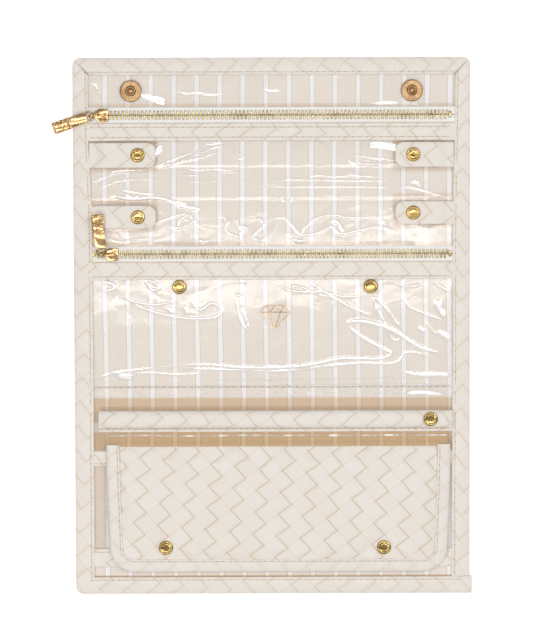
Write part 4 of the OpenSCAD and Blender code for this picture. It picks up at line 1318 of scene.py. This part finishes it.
def buildSnap(name, node, centre, capZ, socketZ, body):
    parts = [latheParts(capProfile, (centre[0], centre[1], capZ))]
    if socketZ is not None:
        parts.append(latheParts(socketProfile, (centre[0], centre[1], socketZ)))
    verts, faces, uvs = joinParts(parts)
    piece = makePiece(name, verts, faces, capGold, uvs, sharp=50)
    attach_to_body(piece, body)
    if node:
        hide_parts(node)
    return piece


capHigh = 1.3


def flapSnapPlaces():
    low, high = boxMm("flap_snaps")
    return [(x, (low[1] + high[1]) / 2) for x in (low[0] + 4.6, high[0] - 4.6)]


def buildSnaps():
    for tab in tabNames:
        low, high = boxMm(tab + "_snap")
        x, y, _ = centreMm(tab + "_snap")
        buildSnap(tab + "_cap", tab + "_snap", (x, y), high[2] - capHigh, low[2], tab + "_tab_body")
    low, high = boxMm("snap_pocket_caps")
    for side, x in (("left", low[0] + 4.6), ("right", high[0] - 4.6)):
        node = "snap_pocket_caps" if side == "left" else None
        spot = (x, (low[1] + high[1]) / 2)
        buildSnap("pocket_cap_" + side, node, spot, clearTop + 0.5, None, "middle_panel")
    low, high = boxMm("flap_snaps")
    for side, x in (("left", low[0] + 4.6), ("right", high[0] - 4.6)):
        node = "flap_snaps" if side == "left" else None
        spot = (x, (low[1] + high[1]) / 2)
        buildSnap("flap_cap_" + side, node, spot, high[2] - capHigh + 0.35, low[2], "flap")
    low, high = boxMm("ring_bar_snap")
    buildSnap("ring_bar_cap", "ring_bar_snap", ((low[0] + high[0]) / 2, (low[1] + high[1]) / 2),
              high[2] - capHigh, None, "ring_bar")


magnetProfile = [(6.5, 0.0), (6.9, 0.12), (6.95, 0.5), (6.7, 0.85), (6.2, 0.98), (5.4, 0.9), (4.2, 0.82),
                 (3.5, 0.8), (3.2, 0.95), (3.05, 1.5), (2.9, 2.0), (2.6, 2.2), (2.2, 2.15), (1.9, 1.8),
                 (1.8, 1.2), (1.6, 1.0), (1.2, 1.35), (0.6, 1.5), (0.0, 1.5)]
hollowProfile = [(6.85, 2.2), (6.9, 0.3), (6.7, 0.04), (6.2, 0.0), (4.4, 0.06), (3.9, 0.12), (3.6, 0.4),
                 (3.5, 0.8), (3.3, 1.0), (0.0, 1.0)]


def buildMagnets():
    for node, profile, body in (("magnet_studs", magnetProfile, "top_panel"),
                                ("magnet_sockets", hollowProfile, "bottom_panel")):
        low, high = boxMm(node)
        y = (low[1] + high[1]) / 2
        base = low[2] + (0.15 if node == "magnet_studs" else 0)
        for side, x in (("left", low[0] + 6.9), ("right", high[0] - 6.9)):
            points = profile if node == "magnet_studs" else list(reversed(profile))
            verts, faces, uvs = latheParts(points, (x, y, base), 56)
            if node == "magnet_sockets":
                faces = [tuple(reversed(f)) for f in faces]
            piece = makePiece(node[:-1] + "_" + side, verts, faces, antiqueGold, uvs, sharp=50)
            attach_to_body(piece, body)
            if side == "left":
                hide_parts(node)


studProfile = [(4.4, 0.0), (4.55, 0.15), (4.3, 0.35), (2.3, 0.4), (1.9, 0.6), (2.0, 1.0), (1.8, 1.3),
               (1.2, 1.4), (0.0, 1.4)]


def buildStuds():
    spots = {"top_snap_studs": [], "middle_snap_studs": [], "bottom_snap_studs": []}
    for tab in tabNames:
        x, y, _ = centreMm(tab + "_snap")
        spots["top_snap_studs" if tab.startswith("upper") else "middle_snap_studs"].append((x, y))
    spots["bottom_snap_studs"] = flapSnapPlaces()
    x, y, _ = centreMm("ring_bar_snap")
    spots["bottom_snap_studs"].append((x, y))
    bodies = {part + "_snap_studs": part + "_panel" for part in ("top", "middle", "bottom")}
    for node, places in spots.items():
        z = boxMm(node)[0][2]
        verts, faces, uvs = joinParts([latheParts(studProfile, (x, y, z), 32) for x, y in places])
        piece = makePiece(node[:-1] + "_set", verts, faces, gold, uvs, sharp=50)
        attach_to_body(piece, bodies[node])
        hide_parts(node)


buildSnaps()
buildMagnets()
buildStuds()
print("snaps and magnets made")

tabSet = {"round": 5.2, "thick": 1.2, "edgeRound": 0.5, "crown": 0.25}


def buildTab(tab):
    low, high = boxMm(tab + "_tab")
    side = -1 if "left" in tab else 1
    tip = low[0] if side > 0 else high[0]
    root = side * (innerX + 0.6)
    centre, half = (low[1] + high[1]) / 2, (high[1] - low[1]) / 2
    topZ, thick, r = high[2], tabSet["thick"], tabSet["round"]
    hingeX = [c / mm for c in jointOf(tab + "_tab_lift")["pos_m"]][0]
    stations = [r * (1 - math.cos(math.pi / 2 * k / 9)) for k in range(1, 10)]
    length = abs(root - tip)
    stations += spread(r + 0.6, length, 0.9)
    rows, uvRows = [], []
    for dx in stations:
        x = tip + side * dx
        wide = half if dx >= r else half - r + math.sqrt(max(0.0, r * r - (r - dx) ** 2))
        rise = smoothStep(innerX - 2.6, abs(hingeX) - 1.0, abs(x))
        upper = (edgeTop + 0.75) + (topZ - edgeTop - 0.75) * rise
        thin = thick * (0.75 + 0.25 * rise)
        droop = -0.35 * smoothStep(12, 0, dx) * 0.6
        row, uvRow = [], []
        loop = stripLoop(wide, -thin, 0.0, tabSet["edgeRound"])
        for across, z in loop:
            crown = tabSet["crown"] * (1 - (across / half) ** 2) if z > -0.05 else 0
            nip = smoothStep(0.0, 1.0, dx)
            lift = (z + crown) * (0.4 + 0.6 * nip) - 0.35 * (1 - nip)
            row.append((x, centre + across, upper + droop + lift))
            uvRow.append((x * 1.0 + (20 if side > 0 else 0), centre + across))
        rows.append(row)
        uvRows.append(uvRow)
    if side < 0:
        rows = [list(reversed(row)) for row in rows]
        uvRows = [list(reversed(row)) for row in uvRows]
    piece = shell(tab + "_leather", rows, coverLeather, uvRows, sharp=50)
    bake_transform(piece)
    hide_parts(tab + "_tab", tab.split("_")[0] + "_tab_roots")


for tabName in tabNames:
    buildTab(tabName)
print("tabs made")

ringBarSet = {"hingeRoom": 1.2, "wave": 0.35, "sides": 28, "wide": 11.4}


def buildRingBar():
    low, high = boxMm("ring_bar_cover")
    tall = high[2] - low[2]
    roundWide = ringBarSet["wide"]
    centreY, centreZ = high[1] - roundWide / 2, low[2] + tall / 2
    rows, uvRows = [], []
    xs = spread(low[0] + ringBarSet["hingeRoom"], high[0], 1.6)
    for x in xs:
        end = min(x - xs[0], high[0] - x)
        squeeze = 1 - 0.30 * smoothStep(5.0, 0.0, end)
        wave = ringBarSet["wave"] * noise.noise(Vector((x * 0.035, 2.0, 0.0)))
        dent = 0.5 * smoothStep(9.0, 4.0, abs(x - centreMm("ring_bar_snap")[0]))
        row, uvRow = [], []
        for k in range(ringBarSet["sides"]):
            a = 2 * math.pi * k / ringBarSet["sides"]
            c, s = math.cos(a), math.sin(a)
            across = roundWide / 2 * math.copysign(abs(c) ** 0.82, c)
            up = tall / 2 * math.copysign(abs(s) ** 0.9, s) * squeeze
            if s > 0:
                up -= dent * s
            level = centreZ - tall / 2 * (1 - squeeze)
            row.append((x, centreY + across + wave * 0.5, level + up + wave * 0.2 * s))
            uvRow.append((x, -a * 5.2))
        rows.append(row)
        uvRows.append(uvRow)
    tube = shell("ring_bar_tube", rows, coverLeather, uvRows, sharp=60)
    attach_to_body(tube, "ring_bar")
    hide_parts("ring_bar_cover", "ring_bar_core")
    rows, uvRows = [], []
    y0, y1 = low[1], high[1] - roundWide + 3.2
    for x in xs:
        wave = 0.2 * noise.noise(Vector((x * 0.05, 9.0, 0.0)))
        row, uvRow = [], []
        for across, z in stripLoop((y1 - y0) / 2, low[2], low[2] + 1.5, 0.3):
            share = (across + (y1 - y0) / 2) / (y1 - y0)
            rise = 0.9 * share * share if z > low[2] + 0.5 else 0
            row.append((x, (y0 + y1) / 2 + across + wave, z + rise))
            uvRow.append((x, across))
        rows.append(row)
        uvRows.append(uvRow)
    flange = shell("ring_bar_flange", rows, coverLeather, uvRows, sharp=50)
    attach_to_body(flange, "ring_bar")
    wire = [(x, y0 + 0.15 + 0.2 * noise.noise(Vector((x * 0.05, 9.0, 0.0))), low[2] + 0.75) for x in xs]
    verts, faces, uvs = tubeParts(wire, 0.55, 0.6, 8)
    edge = makePiece("ring_bar_cut_edge", verts, faces, rawEdge, uvs)
    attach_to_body(edge, "ring_bar")
    return y0 + 1.5, low[2] + 1.65


ringStitchY, ringStitchZ = buildRingBar()
print("ring bar made")

flapSet = {"round": 16.0, "edge": 8.4, "relief": 0.32, "step": 3.0, "taper": 2.0, "stitchIn": 6.9,
           "pressure": 4.0, "puff": 1.1}


def puffUp(piece, held, pressure, most):
    # lets the padding swell the leather between its held points, by no more than a set amount
    start = [v.co.copy() for v in piece.data.vertices]
    group = piece.vertex_groups.new(name="held")
    group.add(sorted(held), 1.0, "REPLACE")
    cloth = piece.modifiers.new("cloth", "CLOTH")
    cloth.settings.quality = 6
    cloth.settings.mass = 0.25
    cloth.settings.tension_stiffness = 12
    cloth.settings.compression_stiffness = 12
    cloth.settings.bending_stiffness = 0.4
    cloth.settings.use_pressure = True
    cloth.settings.uniform_pressure_force = pressure
    cloth.settings.shrink_min = -0.012
    cloth.settings.vertex_group_mass = "held"
    cloth.settings.effector_weights.gravity = 0.0
    cloth.point_cache.frame_start = 1
    cloth.point_cache.frame_end = 20
    for step in range(1, 21):
        bpy.context.scene.frame_set(step)
    posed = piece.evaluated_get(bpy.context.evaluated_depsgraph_get()).to_mesh()
    places = [v.co.copy() for v in posed.vertices]
    piece.modifiers.remove(cloth)
    for vertex, was, now in zip(piece.data.vertices, start, places):
        move = now - was
        if move.length > most * mm:
            move *= most * mm / move.length
        vertex.co = was + move
    piece.vertex_groups.remove(group)
    bpy.context.scene.frame_set(1)


def pressWeave(piece, above, depth):
    # one subdivision pass, then the strands are pressed into the upper side
    smooth = piece.modifiers.new("smooth", "SUBSURF")
    smooth.levels = smooth.render_levels = 2
    graph = bpy.context.evaluated_depsgraph_get()
    graph.update()
    mesh = bpy.data.meshes.new_from_object(piece.evaluated_get(graph), depsgraph=graph)
    piece.modifiers.remove(smooth)
    piece.data = mesh
    for vertex in mesh.vertices:
        x, y, z = (c / mm for c in vertex.co)
        fade = smoothStep(above, above + 0.5, z)
        vertex.co.z += fade * depth * (weaveRelief(x, y) - 0.8) * mm


def flapFrame():
    low, high = boxMm("flap_binding")
    return low[0], high[0], low[1], high[1], low[2], high[2]


def flapHalf(y, inset):
    # half width of the flap at a height, with its round lower corners
    x0, x1, y0, y1, _, _ = flapFrame()
    r = max(1.0, flapSet["round"] - inset)
    half = (x1 - x0) / 2 - inset - flapSet["taper"] * smoothStep(y1, y0, y)
    up = y - (y0 + inset)
    if up < r:
        half -= r - math.sqrt(max(0.0, r * r - (r - up) ** 2))
    return half


def buildFlap():
    x0, x1, y0, y1, z0, z1 = flapFrame()
    centre = (x0 + x1) / 2 + 0.4
    inset = flapSet["edge"] - 0.6
    r = flapSet["round"] - inset
    count = int((x1 - x0 - 2 * inset) / flapSet["step"])
    arc = [y0 + inset + r * (1 - math.cos(math.pi / 2 * k / 5)) for k in range(6)]
    ys = arc + spread(arc[-1] + flapSet["step"], y1 - 0.3, flapSet["step"])
    verts, uvs = [], []
    for level in (1, 0):
        for y in ys:
            half = flapHalf(y, inset)
            for k in range(count + 1):
                share = 2 * k / count - 1
                x = centre + half * share
                edge = min(half - abs(half * share), y - y0 - inset, 8.0)
                roll = smoothStep(3.0, 0.0, y1 - 0.3 - y)
                top = z1 - 0.45 + 0.35 * smoothStep(0.0, 8.0, max(0.0, edge)) - 1.2 * roll * roll
                verts.append((x, y, top if level else z0 + 0.75))
                uvs.append((x, y))
    columns, layer = count + 1, len(ys) * (count + 1)
    faces = gridFaces(len(ys), columns) + gridFaces(len(ys), columns, layer, flip=True)
    rim = list(range(columns)) + [row * columns + count for row in range(1, len(ys))]
    rim += [(len(ys) - 1) * columns + i for i in range(count - 1, -1, -1)]
    rim += [row * columns for row in range(len(ys) - 2, 0, -1)]
    for a, b in zip(rim, rim[1:] + rim[:1]):
        faces.append((b, a, a + layer, b + layer))
    panel = makePiece("flap_panel", verts, faces, flapLeather, uvs, sharp=80)
    held = set(rim) | {i + layer for i in range(layer)}
    for i in range(layer):
        x, y, _ = verts[i]
        if any(math.hypot(x - sx, y - sy) < 6.0 for sx, sy in flapSnapPlaces()):
            held.add(i)
    puffUp(panel, held, flapSet["pressure"], flapSet["puff"])
    pressWeave(panel, z0 + 1.6, flapSet["relief"])
    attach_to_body(panel, "flap")
    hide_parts("flap_cover", "flap_padding")
    # underside
    verts, uvs = [], []
    for y in ys:
        half = flapHalf(y, inset)
        for k in range(count + 1):
            x = centre + half * (2 * k / count - 1)
            verts.append((x, y, z0 + 0.35 + 0.1 * noise.noise(Vector((x * 0.03, y * 0.04, 5.0)))))
            uvs.append((x, y))
    under = makePiece("flap_lining_sheet", verts, gridFaces(len(ys), columns, flip=True), liningCloth, uvs)
    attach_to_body(under, "flap")
    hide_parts("flap_lining")
    wide, tall = (flapHalf(y1, inset) * 2) * mm, (y1 - 0.3 - y0 - inset) * mm
    # folded edge round three sides
    edge, mid = flapSet["edge"], (z0 + z1) / 2
    profile = [(edge, z0 + 0.45), (edge - 0.4, z0 + 0.1), (4.0, z0 + 0.02), (1.4, z0 + 0.1), (0.5, z0 + 0.5),
               (0.08, mid - 0.3), (0.08, mid + 0.3), (0.5, z1 - 0.45), (1.4, z1 + 0.05), (3.0, z1 + 0.35),
               (5.0, z1 + 0.38), (6.2, z1 + 0.2), (flapSet["stitchIn"], z1 - 0.02), (7.5, z1 + 0.18),
               (edge - 0.3, z1 + 0.2), (edge, z1 - 0.05), (edge, z1 - 0.5)]
    around = arcLengths(profile)
    path = flapPath()
    verts, uvs = [], []
    length, last = 0.0, path[0][0]
    for (px, py), (nx, ny) in path:
        length += math.dist((px, py), last)
        last = (px, py)
        for (d, z), s in zip(profile, around):
            lift = 0.12 * noise.noise(Vector((px * 0.06, py * 0.06, 12.0))) * smoothStep(mid, z1, z)
            verts.append((px + nx * d, py + ny * d, z + lift))
            uvs.append((length, s + 3))
    rim = makePiece("flap_edge_strip", verts, gridFaces(len(path), len(profile)), rimLeather, uvs, sharp=60)
    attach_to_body(rim, "flap")
    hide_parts("flap_binding")


def flapPath():
    # the flap's outline from its upper left end round to the upper right, each point with its inward way
    x0, x1, y0, y1, _, _ = flapFrame()
    centre = (x0 + x1) / 2 + 0.4
    r, taper = flapSet["round"], flapSet["taper"]
    path = []
    half = (x1 - x0) / 2
    for y in spread(y1 - 0.1, y0 + r, 2.0):
        path.append(((centre - half + taper * smoothStep(y1, y0, y), y), (1, 0)))
    shift = taper * smoothStep(y1, y0, y0 + r)
    for k in range(1, 17):
        a = math.pi / 2 * k / 16
        path.append(((centre - half + shift + r - r * math.cos(a), y0 + r - r * math.sin(a)),
                     (math.cos(a), math.sin(a))))
    inner = half - shift - r
    path += [((x, y0), (0, 1)) for x in spread(centre - inner + 2, centre + inner - 2, 2.0)]
    half = path[:len(spread(y1 - 0.1, y0 + r, 2.0)) + 16]
    mirror = [((2 * centre - p[0], p[1]), (-n[0], n[1])) for p, n in reversed(half)]
    return path + mirror


def buildFlapRoot():
    # striped cloth that rises from the lining behind the ring bar and turns into the flap
    x0, x1 = flapFrame()[:2]
    rootLow, rootHigh = boxMm("flap_root")
    hinge = [c / mm for c in jointOf("flap_lift")["pos_m"]]
    line = [(rootHigh[1], clearTop + 0.1), (rootHigh[1] - 0.8, clearTop + 0.5), (rootLow[1] + 0.9, 4.9),
            (hinge[1] + 1.3, 5.9), (hinge[1] + 0.4, 6.7), (hinge[1] - 0.6, 7.2), (hinge[1] - 1.6, 7.4)]
    xs = spread(x0 + 1.0, x1 - 1.0, 3.0)
    under = [(y, z - 0.8) for y, z in line]
    loop = line + list(reversed(under))
    rows = [[(x, y, z) for y, z in loop] for x in xs]
    uvRows = [[(x, y) for y, z in loop] for x in xs]
    piece = shell("flap_root_strip", rows, liningCloth, uvRows, sharp=60)
    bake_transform(piece)
    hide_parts("flap_root")


def buildRootGloss():
    # a narrow clear edge over the strip behind the ring bar, with a painted glint along it
    x0, x1 = flapFrame()[:2]
    rootHigh = boxMm("flap_root")[1]
    xs = spread(x0 + 2.0, x1 - 2.0, 1.2)
    rows, uvRows = [], []
    for x in xs:
        drift = 0.5 * noise.noise(Vector((x * 0.03, 51.0, 0.0)))
        wide = 0.5 + 0.3 * noise.noise(Vector((x * 0.11, 57.0, 0.0)))
        y, z = rootHigh[1] - 2.3 + drift, clearTop + 1.1
        rows.append([(x, y - wide, z), (x, y, z + 0.3), (x, y + wide, z), (x, y, z - 0.15)])
        uvRows.append([(x, y - wide), (x, y), (x, y + wide), (x, y)])
    piece = shell("flap_root_clear_edge", rows, vinyl, uvRows)
    shines = [noise.noise(Vector((vertex.co.x / mm * 0.14, 61.0, 0.0))) for vertex in piece.data.vertices]
    markPaintedGlints(piece, [max(0.0, min(1.0, 0.35 + 1.1 * shine)) for shine in shines])
    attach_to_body(piece, "bottom_panel")


buildFlap()
buildFlapRoot()
buildRootGloss()
print("flap made")

stitchSet = {"foldGap": 3.4, "pitch": 4.45, "long": 3.1, "thick": 0.34, "hole": 0.42}
threads, holes = {}, {}


def stitchParts(a, b, z, radius, flat):
    # a short thread that dives into the leather at both ends
    ax, ay = a
    bx, by = b
    path = []
    for k in range(5):
        t = k / 4
        path.append((ax + (bx - ax) * t, ay + (by - ay) * t, z + flat * (math.sin(math.pi * t) - 0.6)))
    return tubeParts(path, radius, radius * 0.8, 6)


def holeParts(x, y, z, ux, uy):
    r = stitchSet["hole"]
    ring = [(x + r * 1.5 * math.cos(a) * ux - r * 0.7 * math.sin(a) * uy,
             y + r * 1.5 * math.cos(a) * uy + r * 0.7 * math.sin(a) * ux) for a in
            (2 * math.pi * k / 8 for k in range(8))]
    verts = [(p[0], p[1], z) for p in ring] + [(p[0], p[1], z - 0.3) for p in ring]
    faces = [tuple(range(8)), tuple(reversed(range(8, 16)))]
    faces += [(i, 8 + i, 8 + (i + 1) % 8, (i + 1) % 8) for i in range(8)]
    return verts, faces, [(v[0], v[1]) for v in verts]


def sewLine(points, z, body=None):
    # stitches spaced along a polyline on the plane
    lengths = arcLengths(points)
    total, pitch = lengths[-1], stitchSet["pitch"]
    count = int(total / pitch)
    pitch = total / count

    def at(s):
        s = max(0.0, min(total, s))
        for i in range(len(points) - 1):
            if s <= lengths[i + 1] or i == len(points) - 2:
                share = (s - lengths[i]) / (lengths[i + 1] - lengths[i])
                p, q = points[i], points[i + 1]
                return p[0] + (q[0] - p[0]) * share, p[1] + (q[1] - p[1]) * share

    for i in range(count):
        a, b = at(i * pitch + 0.65), at(i * pitch + 0.65 + stitchSet["long"])
        hole = at(i * pitch + 0.1)
        if not body and min(abs((a[1] + b[1]) / 2 - fold) for fold in foldLines) < stitchSet["foldGap"]:
            continue
        owner = body or bodyAt(a[1])
        far = math.dist(a, b)
        threads.setdefault(owner, []).append(stitchParts(a, b, z + 0.12, stitchSet["thick"], 0.22))
        ux, uy = (b[0] - a[0]) / far, (b[1] - a[1]) / far
        holes.setdefault(owner, []).append(holeParts(hole[0], hole[1], z + 0.1, ux, uy))


def buildStitches():
    top, low = topY - edgeSet["stitchIn"], bottomY + edgeSet["stitchIn"]
    z = edgeSet["stitchHigh"]
    share = edgeSet["stitchIn"] / stripWide
    ends = {}
    for sign in (-1, 1):
        side = [(sign * (halfWide - share * edgeWide(sign, y)), y) for y in spread(top, low, 6.0)]
        sewLine(side, z)
        ends[sign] = side[0][0], side[-1][0]
    sewLine([(ends[-1][0], top), (ends[1][0], top)], z, "top_panel")
    sewLine([(ends[-1][1], low), (ends[1][1] + 6, low)], z, "bottom_panel")
    high = boxMm("upper_trim")[1][2]
    for y in upStitches:
        sewLine([(-innerX + 1, y), (innerX - 1, y)], high - 0.02, "top_panel")
    for y in lowStitches:
        sewLine([(-innerX + 1, y), (innerX - 1, y)], high - 0.02, "middle_panel")
    sewLine([(-innerX + 1, -38.6), (innerX - 1, -38.6)], clearTop + 0.1, "middle_panel")
    lowBox, topBox = pocketTrimHigh
    for y in (topBox[1] - 8.2, lowBox[1] + 9.4):
        sewLine([(-innerX + 1, y), (innerX - 1, y)], topBox[2] - 0.12, "bottom_panel")
    low, high = boxMm("ring_bar_cover")
    sewLine([(low[0] + 2.2, ringStitchY), (high[0] - 1, ringStitchY)], ringStitchZ, "ring_bar")
    flapTop = flapFrame()[5]
    inner = [(p[0] + n[0] * flapSet["stitchIn"], p[1] + n[1] * flapSet["stitchIn"]) for p, n in flapPath()]
    sewLine(inner, flapTop + 0.02, "flap")
    for owner in sorted(threads):
        verts, faces, uvs = joinParts(threads[owner])
        piece = makePiece("thread_" + owner, verts, faces, threadCotton, uvs)
        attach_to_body(piece, owner)
        verts, faces, uvs = joinParts(holes[owner])
        piece = makePiece("needle_holes_" + owner, verts, faces, holeShade, uvs)
        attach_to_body(piece, owner)


buildStitches()
print("stitching made")

emblemSet = {"centre": (2.0, 8.0), "wide": 19.0, "tall": 15.0, "line": 0.2}


def buildEmblem():
    # a plain cut-gem outline pressed on the clear front in gold
    cx, cy = emblemSet["centre"]
    w, t = emblemSet["wide"] / 2, emblemSet["tall"]
    top, girdle, tip = cy + t * 0.4, cy + t * 0.1, cy - t * 0.6
    lines = [[(cx - w * 0.6, top), (cx + w * 0.6, top), (cx + w, girdle), (cx, tip), (cx - w, girdle),
              (cx - w * 0.6, top)],
             [(cx - w, girdle), (cx + w, girdle)],
             [(cx - w * 0.6, top), (cx - w * 0.35, girdle), (cx, tip), (cx + w * 0.35, girdle),
              (cx + w * 0.6, top)],
             [(cx - w * 0.35, girdle), (cx, top), (cx + w * 0.35, girdle)]]
    height = clearHeight(pocketCreaseGlints, 11.0, (boxMm("snap_pocket_front")[0][1] + tailTop,))
    parts = []
    for line in lines:
        for (ax, ay), (bx, by) in zip(line, line[1:]):
            steps = spread(0, 1, 0.8 / math.hypot(bx - ax, by - ay))
            path = [(ax + (bx - ax) * k, ay + (by - ay) * k) for k in steps]
            path = [(x, y, height(x, y) + 0.05) for x, y in path]
            parts.append(tubeParts(path, emblemSet["line"], 0.06, 6))
    verts, faces, uvs = joinParts(parts)
    piece = makePiece("gem_emblem", verts, faces, gold, uvs)
    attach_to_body(piece, "middle_panel")


buildEmblem()
print("emblem made")

stageSet = {
    "mmPerStep": 0.6437,
    "frameTall": 637,
    "aim": (-3.33, 5.5, 3.0),
    "cameraHigh": 1300.0,
    "cameraTilt": 2.6,
    "cameraRoll": -0.19,
}


def buildFloor():
    material, _, shader = newMaterial("paperFloor", **{"Roughness": 0.9, "Emission Strength": 0.35})
    shader.inputs["Base Color"].default_value = (0.98, 0.98, 0.98, 1)
    shader.inputs["Emission Color"].default_value = (1, 1, 1, 1)
    wide = 3000
    verts = [(-wide, -wide, -0.02), (wide, -wide, -0.02), (wide, wide, -0.02), (-wide, wide, -0.02)]
    floor = makePiece("floor", verts, [(0, 1, 2, 3)], material)


def addLight(name, place, aim, size, power, color=(1, 1, 1), tall=None):
    data = bpy.data.lights.new(name, "AREA")
    data.shape = "RECTANGLE"
    data.size = size * mm
    data.size_y = (tall or size) * mm
    data.energy = power
    data.color = color
    lamp = bpy.data.objects.new(name, data)
    lamp.location = Vector(place) * mm
    way = Vector(aim) * mm - lamp.location
    lamp.rotation_euler = way.to_track_quat("-Z", "Y").to_euler()
    bpy.context.scene.collection.objects.link(lamp)
    return lamp


def buildStage():
    buildFloor()
    addLight("keyBox", (-900, -700, 1500), (0, 0, 0), 800, 4.2)
    addLight("fillBox", (1100, 500, 1300), (0, 0, 0), 900, 3.3, (0.97, 0.985, 1.0))
    addLight("northStrip", (0, 380, 1500), (0, 0, 0), 1500, 3.8, (1.0, 0.985, 0.96), 90)
    addLight("southStrip", (0, -680, 1450), (0, 0, 0), 1500, 3.6, (1.0, 0.985, 0.96), 90)
    addLight("westStrip", (-560, 0, 1450), (0, 0, 0), 90, 2.3, (1.0, 0.985, 0.96), 1200)
    addLight("eastStrip", (560, 60, 1450), (0, 0, 0), 90, 2.3, (1.0, 0.985, 0.96), 1200)
    world = bpy.data.worlds.new("softRoom")
    world.use_nodes = True
    world.node_tree.nodes["Background"].inputs[0].default_value = (0.97, 0.98, 1.0, 1)
    world.node_tree.nodes["Background"].inputs[1].default_value = 0.36
    bpy.context.scene.world = world
    bpy.context.scene.view_settings.view_transform = "Standard"
    camera = bpy.data.cameras.new("camera")
    camera.sensor_width = 36
    tall = stageSet["mmPerStep"] * stageSet["frameTall"]
    tilt, aim = math.radians(stageSet["cameraTilt"]), Vector(stageSet["aim"])
    away = Vector((0, math.tan(tilt), 1)) * stageSet["cameraHigh"]
    camera.lens = camera.sensor_width * away.length / tall
    holder = bpy.data.objects.new("camera", camera)
    holder.location = (aim + away) * mm
    holder.rotation_euler = (-tilt, 0, math.radians(stageSet["cameraRoll"]))
    bpy.context.scene.collection.objects.link(holder)
    bpy.context.scene.camera = holder


buildStage()
print("stage made")
